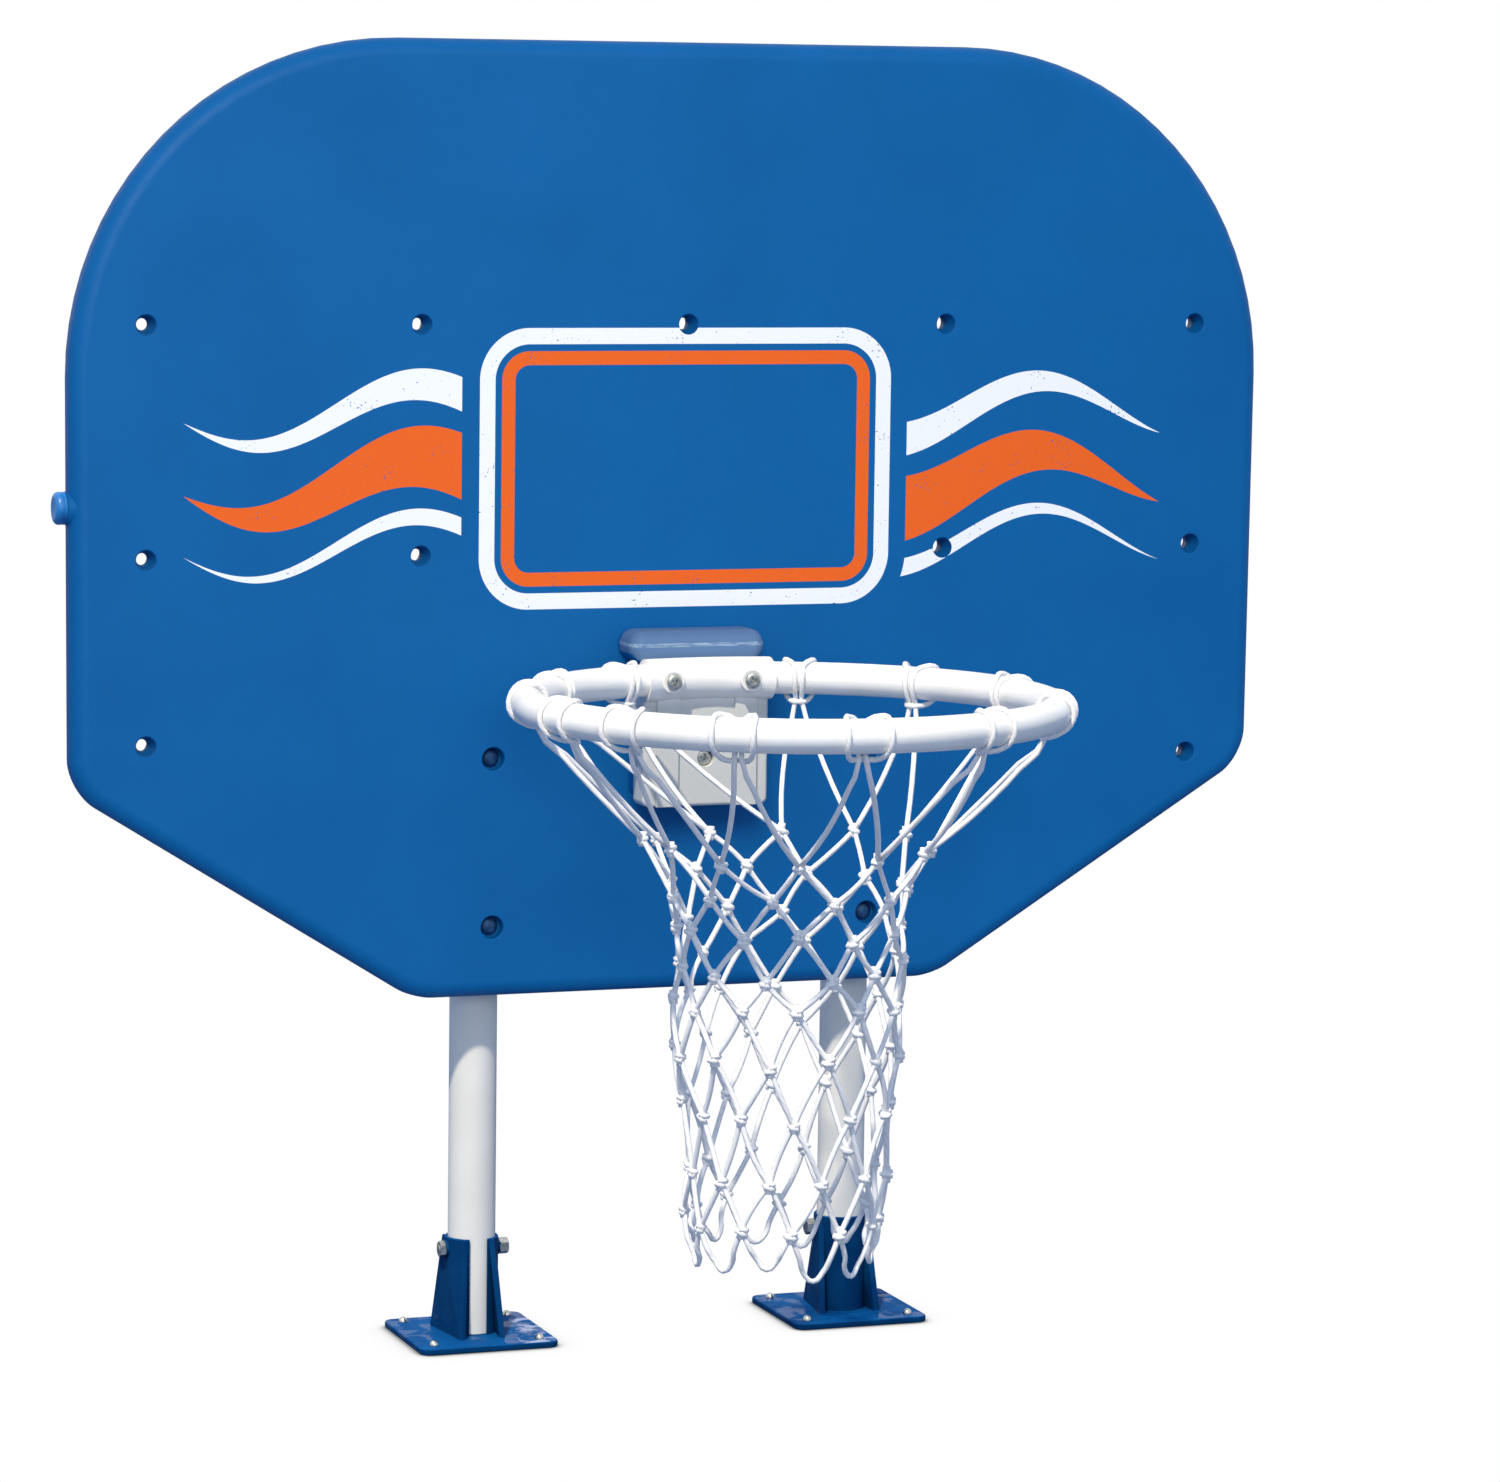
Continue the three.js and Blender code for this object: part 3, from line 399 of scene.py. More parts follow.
def band(offset, half_width):
    """1 where the board is within a wave band, which tapers to nothing at both its ends."""
    away = math_node(board_blue, "ABSOLUTE", math_node(board_blue, "SUBTRACT", above, offset))
    edge = math_node(board_blue, "MULTIPLY", taper, half_width)
    return math_node(board_blue, "LESS_THAN", away, edge)


square_half = (0.190, 1.0, 0.122)
square_height = 0.776
square_corner = 0.045
from_middle = node(
    board_blue, "VectorMath", {0: centred, 1: (0, 0, square_height)}, operation="SUBTRACT"
).outputs[0]
folded = node(board_blue, "VectorMath", {0: from_middle}, operation="ABSOLUTE").outputs[0]
inner = (square_half[0] - square_corner, square_half[1], square_half[2] - square_corner)
beyond = node(board_blue, "VectorMath", {0: folded, 1: inner}, operation="SUBTRACT").outputs[0]
outside = node(board_blue, "VectorMath", {0: beyond, 1: (0, 0, 0)}, operation="MAXIMUM").outputs[0]
distance = node(board_blue, "VectorMath", {0: outside}, operation="LENGTH").outputs["Value"]
frame_edge = math_node(board_blue, "SUBTRACT", distance, square_corner)


def frame_line(inwards, half_width):
    """1 on a line that runs round the target, this far inside its outer edge."""
    away = math_node(board_blue, "ABSOLUTE", math_node(board_blue, "ADD", frame_edge, inwards))
    return math_node(board_blue, "LESS_THAN", away, half_width)


def either(*masks):
    total = masks[0]
    for mask in masks[1:]:
        total = math_node(board_blue, "MAXIMUM", total, mask)
    return total


on_front = math_node(board_blue, "COMPARE", depth, 0, 0.0004)
clear = math_node(board_blue, "GREATER_THAN", frame_edge, 0.016)
fine = noise(board_blue, centred, 420, 3)
coarse = noise(board_blue, centred, 38, 2)
worn = math_node(board_blue, "MULTIPLY_ADD", coarse, 0.5, fine)
inked = math_node(board_blue, "GREATER_THAN", worn, 0.545)
printed = math_node(board_blue, "MULTIPLY", on_front, inked)
white_waves = either(band(0.062, 0.017), band(-0.052, 0.009))
white_waves = math_node(board_blue, "MULTIPLY", white_waves, clear)
orange_wave = math_node(board_blue, "MULTIPLY", band(0.0, 0.033), clear)
white_ink = either(white_waves, frame_line(0.007, 0.007))
white_ink = math_node(board_blue, "MULTIPLY", white_ink, printed)
orange_ink = either(orange_wave, frame_line(0.026, 0.006))
orange_ink = math_node(board_blue, "MULTIPLY", orange_ink, printed)

cloud = ramped(board_blue, noise(board_blue, centred, 7, 4), 0.3, 0.7)
plastic = mixed(board_blue, cloud, linear(2, 92, 153), linear(6, 98, 161))
speck = ramped(board_blue, noise(board_blue, centred, 900, 1), 0.66, 0.8)
plastic = mixed(board_blue, speck, plastic, linear(24, 108, 172))
# The hood's front and upper face are painted a paler grey blue as a painted sheen. A painted
# highlight line runs along its front top edge, broken up by noise.
hood_near = math_node(board_blue, "LESS_THAN", depth, -0.0327)
hood_rise = math_node(board_blue, "SUBTRACT", height, hood_low)
hood_upper = math_node(board_blue, "GREATER_THAN", hood_rise, 0.008)
hood_proud = math_node(board_blue, "LESS_THAN", depth, -0.004)
hood_upper = math_node(board_blue, "MULTIPLY", hood_upper, hood_proud)
painted_hood_sheen = math_node(board_blue, "MAXIMUM", hood_near, hood_upper)
painted_hood_sheen = math_node(board_blue, "MULTIPLY", painted_hood_sheen, 0.8)
painted_ridge_highlight = math_node(board_blue, "COMPARE", hood_rise, 0.0155, 0.0016)
highlight_streaks = node(board_blue, "Mapping", {"Vector": centred, "Scale": (90, 400, 700)})
highlight_streaks = noise(board_blue, highlight_streaks.outputs["Vector"], 1, 2)
painted_ridge_highlight = math_node(board_blue, "MULTIPLY", painted_ridge_highlight, ramped(board_blue, highlight_streaks, 0.36, 0.6))
painted_sheen_colour = mixed(board_blue, painted_ridge_highlight, linear(102, 128, 160), linear(168, 188, 204))
plastic = mixed(board_blue, painted_hood_sheen, plastic, painted_sheen_colour)
with_orange = mixed(board_blue, orange_ink, plastic, linear(243, 103, 33))
coloured = mixed(board_blue, white_ink, with_orange, linear(250, 250, 250))
wire(board_blue, coloured, board_surface.inputs["Base Color"])
gloss = ramped(board_blue, noise(board_blue, centred, 60, 3), 0.3, 0.7, 0.46, 0.56)
wire(board_blue, gloss, board_surface.inputs["Roughness"])
peel = noise(board_blue, centred, 320, 3)
grained(board_blue, board_surface, peel, 0.00035, 0.5)
fitted(board, board_blue, "hoop", ["backboard"])

# Side plug: the push-in plug of the board's filling hole, moulded in the board's own blue. A
# rounded knob stands out of the left edge, and its hollow shank carries a rubber ring.
plug_face = plug_seat - clearance
seal_low, seal_high = (corner.x - home.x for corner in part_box("plug_seal"))
knob_radius = 0.014
knob_round = 0.004
shank_radius = 0.01065
shank_end = plug_face + 0.018
shank_bore = 0.0056
groove_radius = 0.00795
plug_profile = [(0, plug_face - 0.0084), (0.0078, plug_face - 0.0089)]
for k in range(9):
    angle = math.pi / 2 * k / 8
    out = 0.010 + knob_round * math.sin(angle)
    plug_profile.append((out, plug_face - 0.005 - knob_round * math.cos(angle)))
plug_profile += [
    (knob_radius, plug_face - 0.0032), (0.0134, plug_face - 0.0027),
    (0.0134, plug_face - 0.0023), (knob_radius, plug_face - 0.0018),
    (knob_radius, plug_face), (shank_radius, plug_face),
    (shank_radius, seal_low - clearance), (groove_radius, seal_low - clearance),
    (groove_radius, seal_high + clearance), (shank_radius, seal_high + clearance),
    (shank_radius, plug_face + 0.0165), (0.0100, shank_end),
    (shank_bore, shank_end), (shank_bore, plug_face), (0, plug_face),
]
plug = as_object("plug_knob", turned(plug_profile, "x", plug_place, 48))


def mottled(material, surface, first, second, scale, detail=3, low=0.35):
    """Wires a colour that wavers between two tones, and returns the place that it follows."""
    spot = node(material, "TexCoord", {}).outputs["Object"]
    tone = ramped(material, noise(material, spot, scale, detail), low, 0.7)
    wire(material, mixed(material, tone, first, second), surface.inputs["Base Color"])
    return spot


plug_blue, plug_surface = new_finish("plug_blue", linear(18, 108, 178), 0.36)
spot = mottled(plug_blue, plug_surface, linear(14, 100, 170), linear(26, 120, 188), 120, low=0.3)
grained(plug_blue, plug_surface, noise(plug_blue, spot, 700, 2), 0.0002, 0.5)
fitted(plug, plug_blue, "plug", ["side_plug"])

rubber, rubber_surface = new_finish("seal_rubber", linear(26, 27, 29), 0.7)
spot = node(rubber, "TexCoord", {}).outputs["Object"]
grained(rubber, rubber_surface, noise(rubber, spot, 1500, 2), 0.0001)
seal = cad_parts["plug_seal"]
seal.data.materials.clear()
seal.data.materials.append(rubber)

# Rim: a white plastic tube bent to a ring, whose two ends meet a stop inside the bracket. The
# bracket's upper screws pass through it at the back, and the net is hitched round it.
rim_radius = 0.2195
rim_tube = 0.01415
rim_wall = 0.0026
rim_stand = -0.051
rim_y = rim_stand - rim_radius
rim_place = Vector((0, rim_y, rim_height))
end_gap = math.asin(0.004 / rim_radius)


def ring_of(radius, start, sweep, steps, sides, place=rim_place):
    """A circle of this radius carried round the rim's centre line, closed at both its ends."""
    shape = bmesh.new()
    carried = Matrix.Translation((rim_radius, 0, 0)) @ Matrix.Rotation(math.pi / 2, 4, "X")
    bmesh.ops.create_circle(shape, cap_ends=True, segments=sides, radius=radius, matrix=carried)
    turn = Matrix.Rotation(start, 3, "Z")
    bmesh.ops.rotate(shape, verts=shape.verts[:], cent=(0, 0, 0), matrix=turn)
    face = shape.faces[:]
    bmesh.ops.spin(
        shape, geom=face + shape.edges[:] + shape.verts[:], cent=(0, 0, 0), axis=(0, 0, 1),
        angle=sweep, steps=steps,
    )
    bmesh.ops.recalc_face_normals(shape, faces=shape.faces[:])
    bmesh.ops.translate(shape, verts=shape.verts[:], vec=place)
    return shape


rim = as_object("rim_tube", ring_of(
    rim_tube, math.pi / 2 + end_gap, 2 * math.pi - 2 * end_gap, 160, 32,
))
worked(rim, "DIFFERENCE", [
    ring_of(rim_tube - rim_wall, math.pi / 2 + end_gap / 2, 2 * math.pi - end_gap, 160, 20),
])
worked(rim, "DIFFERENCE", [
    rod(screw_bore, -0.08, -0.02, "y", (x, 0, rim_height), 16) for x in (-screw_x, screw_x)
])

moulded_white, white_surface = new_finish("white_moulding", linear(240, 239, 235), 0.34)
spot = node(moulded_white, "TexCoord", {}).outputs["Object"]
tone = ramped(moulded_white, noise(moulded_white, spot, 26, 4), 0.35, 0.7)
unshaded_white = mixed(moulded_white, tone, linear(238, 236, 231), linear(245, 244, 241))
# Below the rim the white is painted down to a grey: painted shade of the rim and saddle over the
# bracket's plate.
level = node(moulded_white, "SeparateXYZ", {0: spot}).outputs["Z"]
above_painted_shade = ramped(moulded_white, level, rim_height - 0.024, rim_height - 0.014)
wire(
    moulded_white,
    mixed(moulded_white, above_painted_shade, linear(203, 204, 200), unshaded_white),
    white_surface.inputs["Base Color"],
)
gloss = ramped(moulded_white, noise(moulded_white, spot, 90, 3), 0.3, 0.7, 0.28, 0.42)
wire(moulded_white, gloss, white_surface.inputs["Roughness"])
grained(moulded_white, white_surface, noise(moulded_white, spot, 600, 2), 0.00012, 0.5)
fitted(rim, moulded_white, "hoop", ["rim_ring"])

# Rim bracket: one white moulding. A saddle wraps the back of the rim, over a plate that is open
# at the back, with a round boss and a rib at each upper screw and a sunk seat for the lower one.
bracket_half = 0.0575
bracket_back = -0.0323
bracket_front = bracket_back - 0.026
bracket_wall = 0.004
saddle_bore = rim_tube + clearance
saddle_radius = saddle_bore + bracket_wall
bracket_low = rim_height - 0.111
ring_bow = rim_radius - math.sqrt(rim_radius**2 - screw_x**2)
boss_radius = 0.0104
boss_face = rim_stand - ring_bow - saddle_radius - 0.0026
rib_half = 0.0102
plate_top = rim_height - saddle_radius + bracket_wall

bracket = as_object("bracket_moulding", ring_of(
    saddle_radius, math.radians(72), math.radians(36), 48, 48,
))
worked(bracket, "INTERSECT", [
    block((-bracket_half, rim_y, rim_height - 0.03),
          (bracket_half, bracket_back, rim_height + 0.03)),
])
plate = as_object("plate", rounded_plate(
    rectangle(2 * bracket_half, bracket_low, plate_top, 0.006),
    bracket_front, bracket_back + bracket_wall, 0.003, 6, 4,
))
worked(plate, "DIFFERENCE", [
    block((-0.06, bracket_back, bracket_low - 0.01), (0.06, bracket_back + 0.01, plate_top + 0.01)),
    block((-bracket_half + bracket_wall, bracket_front + bracket_wall, bracket_low + bracket_wall),
          (bracket_half - bracket_wall, bracket_back + 0.002, rim_height - saddle_radius)),
])
boss_profile = [
    (0, rim_stand), (boss_radius, rim_stand), (boss_radius, boss_face + 0.0012),
    (0.0101, boss_face + 0.0004), (0.0094, boss_face), (0.0082, boss_face),
    (0.0078, boss_face + 0.0005), (0, boss_face + 0.0005),
]
worked(bracket, "UNION", [
    plate,
    rounded_plate(
        rectangle(2 * bracket_half, rim_height - saddle_radius, rim_height + 0.011, 0.002),
        rim_stand, bracket_back, 0.0, 3,
    ),
    rod(0.0098, bracket_front + 0.002, bracket_back, "y", (0, 0, lower_screw), 40),
])
for x in (-screw_x, screw_x):
    worked(bracket, "UNION", [
        rounded_plate(
            [(x - rib_half, bracket_low, 0.001), (x + rib_half, bracket_low, 0.001),
             (x + rib_half, rim_height, 0.001), (x - rib_half, rim_height, 0.001)],
            bracket_front - 0.003, -0.045, 0.0009, 2, 3),
        turned(boss_profile, "y", (x, 0, rim_height), 48),
    ])
lower_seat = bracket_front + 0.008
stop_half = 0.02
bore_sweep = math.radians(30)
worked(bracket, "DIFFERENCE", [
    ring_of(saddle_bore, math.pi / 2 + stop_half, bore_sweep, 40, 48),
    ring_of(saddle_bore, math.pi / 2 - stop_half - bore_sweep, bore_sweep, 40, 48),
    turned([(0, bracket_front - overshoot), (0.0086, bracket_front - overshoot),
            (0.0076, bracket_front + 0.0006), (0.0073, lower_seat), (0, lower_seat)],
           "y", (0, 0, lower_screw), 40),
])
worked(bracket, "DIFFERENCE", [
    rod(screw_bore, -0.09, -0.02, "y", (x, 0, z), 20) for x, z in screw_places.values()
])
fitted(bracket, moulded_white, "hoop", ["rim_bracket"], crease=28)

# Bracket screws: zinc-plated pan-head screws with a cross recess, driven into brass sleeves
# that are moulded into the board's seat.
zinc, zinc_surface = new_finish("zinc_steel", linear(186, 190, 188), 0.3, Metallic=1.0)
spot = mottled(zinc, zinc_surface, linear(166, 172, 164), linear(204, 207, 206), 240, low=0.3)
gloss = ramped(zinc, noise(zinc, spot, 500, 2), 0.3, 0.7, 0.24, 0.4)
wire(zinc, gloss, zinc_surface.inputs["Roughness"])
grained(zinc, zinc_surface, noise(zinc, spot, 1800, 2), 0.00005)

head_height = 0.004
screw_radius = 0.003
screw_core = 0.0026
screw_threads = 12
screw_turns = {"upper_left": 0.5, "upper_right": 1.1, "lower": 0.2}
for name, (x, z) in screw_places.items():
    under = (lower_seat if name == "lower" else boss_face) - clearance
    profile = [(0, under - head_height)]
    for k in range(1, 9):
        angle = math.pi / 2 * k / 8
        out = 0.0042 + 0.0027 * math.sin(angle)
        profile.append((out, under - 0.0018 - 0.0022 * math.cos(angle)))
    profile += [(0.0068, under - 0.0001), (0.0064, under), (screw_radius, under)]
    start, end = under + 0.004, seat_face + 0.0105
    for k in range(screw_threads):
        low = start + (end - start) * k / screw_threads
        profile += [(screw_core, low), (screw_radius, low + (end - start) / screw_threads / 2)]
    profile += [(screw_core, end), (0.0016, end + 0.0005), (0, end + 0.0005)]
    screw = as_object(f"cross_screw_{name}", turned(profile, "y", (x, 0, z), 32))
    arms = []
    for quarter in (0, math.pi / 2):
        arm = block((-0.0041, -0.001, -0.0008), (0.0041, 0.0024, 0.0008))
        narrow = [v for v in arm.verts if v.co.y > 0]
        bmesh.ops.scale(arm, verts=narrow, vec=(0.35, 1, 0.6))
        turn = Matrix.Rotation(screw_turns[name] + quarter, 4, "Y")
        bmesh.ops.transform(
            arm, verts=arm.verts[:], matrix=Matrix.Translation((x, under - head_height, z)) @ turn,
        )
        arms.append(arm)
    worked(screw, "DIFFERENCE", arms)
    fitted(screw, zinc, "hoop", [f"bracket_screw_{name}"])

brass, brass_surface = new_finish("insert_brass", linear(201, 164, 90), 0.35, Metallic=1.0)
mottled(brass, brass_surface, linear(206, 170, 96), linear(168, 128, 66), 300)
for name in screw_places:
    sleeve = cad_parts[f"threaded_insert_{name}"]
    sleeve.data.materials.clear()
    sleeve.data.materials.append(brass)

# Net: white braided cord hitched round the rim at each tie, knotted into rings of diamonds that
# draw in below the rim, and left in loose loops at the bottom.
cord_radius = 0.0023
tie_degrees = [12, 40, 68, 111, 136, 160, 193, 213, 238, 265, 296, 334]
tie_reaches = [0.015, 0.014, 0.013, 0.013, 0.013, 0.014, 0.015, 0.016, 0.017, 0.018, 0.013, 0.017]
tie_droops = [0.003, 0.002, 0.003, 0.001, 0.002, 0.003, 0.002, 0.003, 0.006, 0.003, 0.002, 0.004]
row_drops = [0.2, 0.275, 0.343, 0.407, 0.475, 0.563, 0.663, 0.779, 0.868]
row_radii = [0.556, 0.465, 0.442, 0.433, 0.428, 0.424, 0.401, 0.378, 0.374]
net_length = 0.472
net_top = rim_height - rim_tube - 0.0085
ties = len(tie_degrees)
tie_pitch = 360 / ties
chance = random.Random(7)
up = Vector((0, 0, 1))


def round_rim(degrees, radius, height):
    angle = math.radians(degrees)
    return Vector((radius * math.cos(angle), rim_y + radius * math.sin(angle), height))


def outward(point):
    return Vector((point.x, point.y - rim_y, 0)).normalized()


def add_cord(shape, points, radius=cord_radius, steps=3):
    """Adds a round cord that passes through these points. Its UV runs along and round the cord."""
    line = bpy.data.curves.new("strand", "CURVE")
    line.dimensions = "3D"
    line.bevel_depth = radius
    line.bevel_resolution = 1
    line.resolution_u = steps
    line.use_fill_caps = True
    spline = line.splines.new("BEZIER")
    spline.bezier_points.add(len(points) - 1)
    for knot, point in zip(spline.bezier_points, points):
        knot.co = point
        knot.handle_left_type = knot.handle_right_type = "AUTO"
    length = spline.calc_length()
    holder = bpy.data.objects.new("strand", line)
    mesh = holder.to_mesh()
    for corner in mesh.uv_layers[0].data:
        corner.uv[0] *= length / radius
    shape.from_mesh(mesh)
    holder.to_mesh_clear()
    bpy.data.objects.remove(holder)
    bpy.data.curves.remove(line)


def add_knot(shape, centre, size):
    """A pulled-tight wrap of the cord over its core."""
    out = outward(centre)
    side = up.cross(out)
    lean = chance.uniform(-0.7, 0.7)
    points = []
    for k in range(8):
        angle = 2 * math.pi * 1.25 * k / 7
        points.append(
            centre
            + side * size * 0.72 * math.cos(angle)
            + out * size * 0.6 * math.sin(angle)
            + up * size * (0.8 * k / 7 - 0.4 + 0.35 * lean * math.cos(angle))
        )
    add_cord(shape, points, cord_radius * 1.05, 1)
    end = up * size * 1.15
    core = [centre + end, centre + side * size * 0.12 * lean, centre - end]
    add_cord(shape, core, cord_radius * 1.55, 2)


def slack(start, end, sag, lean=0.0):
    """Points from one knot to the next, bowed outwards and down, and a little sideways."""
    run = end - start
    out = outward((start + end) / 2)
    side = run.cross(out).normalized()
    bow = side.cross(run).normalized()
    if bow.dot(out) < 0:
        bow.negate()
    shift = (bow * sag + side * chance.uniform(-0.04, 0.04)) * run.length
    shares = (0.0, 0.25, 0.5, 0.75, 1.0)
    return [start + run * share + shift * 4 * share * (1 - share) for share in shares]


def hitch(degrees, reach, droop):
    """A cow hitch: up inside the tube as a close pair, over it, and round under it as one bar."""
    tube = round_rim(degrees, rim_radius, rim_height)
    out = outward(tube)
    side = up.cross(out)
    wrap = rim_tube + cord_radius - 0.0004

    def at(across, turn, lift=0.0):
        angle = math.radians(turn)
        return tube + side * across + (out * math.cos(angle) + up * math.sin(angle)) * (wrap + lift)

    leg = [(0.0028, 250, 0.0045), (0.0030, 222, 0.0006), (0.0032, 190, 0), (0.0036, 160, 0)]
    leg += [(0.3 * reach, 132, 0), (0.72 * reach, 104, 0), (0.97 * reach, 74, 0), (reach, 40, 0)]
    leg += [(reach, 5, 0), (0.98 * reach, -32, 0), (0.86 * reach, -68, 0.0003)]
    leg += [(0.52 * reach, -103, 0.0022 + 0.6 * droop)]
    points = [at(-across, turn, lift) for across, turn, lift in leg]
    points.append(at(0, -122, 0.004 + droop))
    return points + [at(across, turn, lift) for across, turn, lift in reversed(leg)]


net_shape = bmesh.new()
rows = []
for row, (drop, share) in enumerate(zip(row_drops, row_radii)):
    shift = tie_pitch / 2 if row % 2 == 0 else 0
    places = []
    for column in range(ties):
        degrees = column * tie_pitch + shift + chance.uniform(-2.4, 2.4)
        radius = share * rim_radius * chance.uniform(0.965, 1.035)
        knot_z = net_top - drop * net_length + chance.uniform(-0.005, 0.005)
        places.append(round_rim(degrees, radius, knot_z))
    rows.append(places)
for places in rows:
    for place in places:
        add_knot(net_shape, place, 0.0056 * chance.uniform(0.88, 1.12))
for tie, (degrees, reach, droop) in enumerate(zip(tie_degrees, tie_reaches, tie_droops)):
    over = hitch(degrees, reach, droop)
    before = slack(rows[0][tie - 1], over[0], chance.uniform(0.0, 0.05))
    after = slack(over[-1], rows[0][tie], chance.uniform(0.0, 0.05))
    add_cord(net_shape, before[:-1] + over + after[1:], steps=2)
for row, (upper, lower) in enumerate(zip(rows, rows[1:])):
    offset = 1 if row % 2 == 0 else 0
    for column, start in enumerate(upper):
        for end in (lower[(column + offset) % ties], lower[(column + offset - 1) % ties]):
            add_cord(net_shape, slack(start, end, chance.uniform(-0.03, 0.05)))

last_row = rows[-1]
for column, start in enumerate(last_row):
    end = last_row[(column + 1) % ties]
    drop = net_length * (1 - row_drops[-1]) * chance.uniform(0.42, 0.68)
    middle = (start + end) / 2
    side = (end - start).normalized()
    inwards = -outward(middle)
    low = Vector((middle.x, middle.y, min(start.z, end.z) - drop)) + inwards * 0.004
    width = (end - start).length * 0.26
    add_cord(net_shape, [
        start,
        start.lerp(low, 0.5) - side * width * 0.25 - inwards * 0.002,
        low - side * width * 0.8 + up * 0.008,
        low,
        low + side * width * 0.8 + up * 0.008,
        end.lerp(low, 0.5) + side * width * 0.25 - inwards * 0.002,
        end,
    ])
bmesh.ops.remove_doubles(net_shape, verts=net_shape.verts[:], dist=1e-6)
net = as_object("net_cords", net_shape)

net_white, cord_surface = new_finish("net_cord", linear(242, 242, 244), 0.8, Sheen_Weight=0.15)
along = node(net_white, "SeparateXYZ", {0: node(net_white, "TexCoord", {}).outputs["UV"]}).outputs
turns = math_node(net_white, "MULTIPLY", along["Y"], 3 * 2 * math.pi)
lay = math_node(net_white, "MULTIPLY_ADD", along["X"], 1.3, turns)
strand = math_node(net_white, "MULTIPLY_ADD", math_node(net_white, "SINE", lay), 0.5, 0.5)
spot = node(net_white, "TexCoord", {}).outputs["Object"]
fibre = noise(net_white, spot, 1400, 2)
soiled = ramped(net_white, noise(net_white, spot, 30, 3), 0.4, 0.75)
# Along the lay, the cord is painted a little darker between its strands: painted shade in the
# grooves.
fresh = mixed(net_white, strand, linear(235, 234, 234), linear(246, 245, 243))
wire(
    net_white,
    mixed(net_white, math_node(net_white, "MULTIPLY", soiled, 0.5), fresh, linear(226, 224, 222)),
    cord_surface.inputs["Base Color"],
)
weave = math_node(net_white, "MULTIPLY_ADD", fibre, 0.6, strand)
grained(net_white, cord_surface, weave, 0.0003, 0.45)
net.data.transform(Matrix.Translation(home))
net.data.materials.append(net_white)
net.data.shade_smooth()
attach(net, "hoop")
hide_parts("net")

# Poles: two lengths of white rigid plastic pipe, which run up in troughs in the board's back and
# end in push-in caps.
pipe_white, pipe_surface = new_finish("white_pipe", linear(233, 231, 226), 0.42)
spot = mottled(pipe_white, pipe_surface, linear(227, 225, 217), linear(235, 233, 227), 18, 4)
drawn = node(pipe_white, "Mapping", {"Vector": spot, "Scale": (420, 420, 14)}).outputs["Vector"]
grained(pipe_white, pipe_surface, noise(pipe_white, drawn, 1, 3), 0.00012, 0.6)

pole_foot = 0.0063
pole_top = board_foot + 0.304
bolt_height = 0.081
pipe_bore = pole_radius - 0.0036
cut = 0.0006
cap_seat = pole_top + clearance
skirt = pipe_bore - clearance
skirt_bore = skirt - 0.0025
skirt_foot = cap_seat - 0.022
for side, x in (("left", -pole_x), ("right", pole_x)):
    pipe = as_object(f"pipe_{side}", turned([
        (pipe_bore, pole_foot), (pole_radius - cut, pole_foot), (pole_radius, pole_foot + cut),
        (pole_radius, pole_top - cut), (pole_radius - cut, pole_top), (pipe_bore, pole_top),
        (pipe_bore, pole_foot),
    ], "z", (x, pole_y, 0), 64))
    worked(pipe, "DIFFERENCE", [
        rod(bolt_bore, -0.03, 0.03, "y", (x, pole_y, z), 20)
        for name, (_, z) in bolt_places.items() if name.startswith(side)
    ] + [rod(bolt_bore, -0.03, 0.03, "x", (x, pole_y, bolt_height), 20)])
    fitted(pipe, pipe_white, "hoop", [f"pole_{side}"])
    dome = [(pole_radius * math.cos(a), cap_seat + 0.003 + 0.005 * math.sin(a))
            for a in (math.pi / 2 * k / 8 for k in range(9))]
    cap = as_object(f"cap_{side}", turned([
        (0, cap_seat), (skirt_bore, cap_seat), (skirt_bore, skirt_foot),
        (skirt - 0.0005, skirt_foot), (skirt, cap_seat - 0.0212), (skirt, cap_seat),
        (pole_radius, cap_seat), *dome,
    ], "z", (x, pole_y, 0), 64))
    fitted(cap, moulded_white, "hoop", [f"pole_cap_{side}"])

# Board bolts: dome-headed zinc bolts sunk in the board's recesses, through board and pole, each
# with a washer and a hexagon nut behind the pole.
# Their heads are painted a dark blue, as painted shade and a painted reflection of the blue recess.
bolt_radius = 0.004
nut_width = 0.013
nut_height = 0.0068
nut_bore = 0.0043
washer_thick = 0.0016
washer_radius = 0.009
thread_depth = 0.0006


def hexagon(width, start, end, axis, place, chamfer=0.0007):
    """A hexagonal prism whose end corners are turned off."""
    corner = width / math.sqrt(3)
    shape = turned([(0, start), (corner, start), (corner, end), (0, end)], axis, place, 6)
    clear_of = corner + 0.0004
    trim = [(0, start), (corner - chamfer, start), (clear_of, start + 1.1 * chamfer),
            (clear_of, end - 1.1 * chamfer), (corner - chamfer, end), (0, end)]
    return worked(as_object("hexagon", shape), "INTERSECT", [turned(trim, axis, place, 36)])


def threaded(radius, start, end, pitch=0.00125):
    """Profile points of a thread from start to end."""
    count = max(1, round((end - start) / pitch))
    core = radius - thread_depth
    points = []
    for k in range(count):
        low = start + (end - start) * k / count
        points += [(core, low), (radius, low + (end - start) / count / 2)]
    return points + [(core, end)]


# The bolts' zinc is painted dark blue: painted shade and a painted reflection of the blue recess
# around the heads.
shaded_zinc, shaded_zinc_surface = new_finish("zinc_in_painted_shade", linear(52, 98, 142), 0.5, Metallic=0.6)
mottled(shaded_zinc, shaded_zinc_surface, linear(44, 88, 132), linear(62, 110, 152), 300)

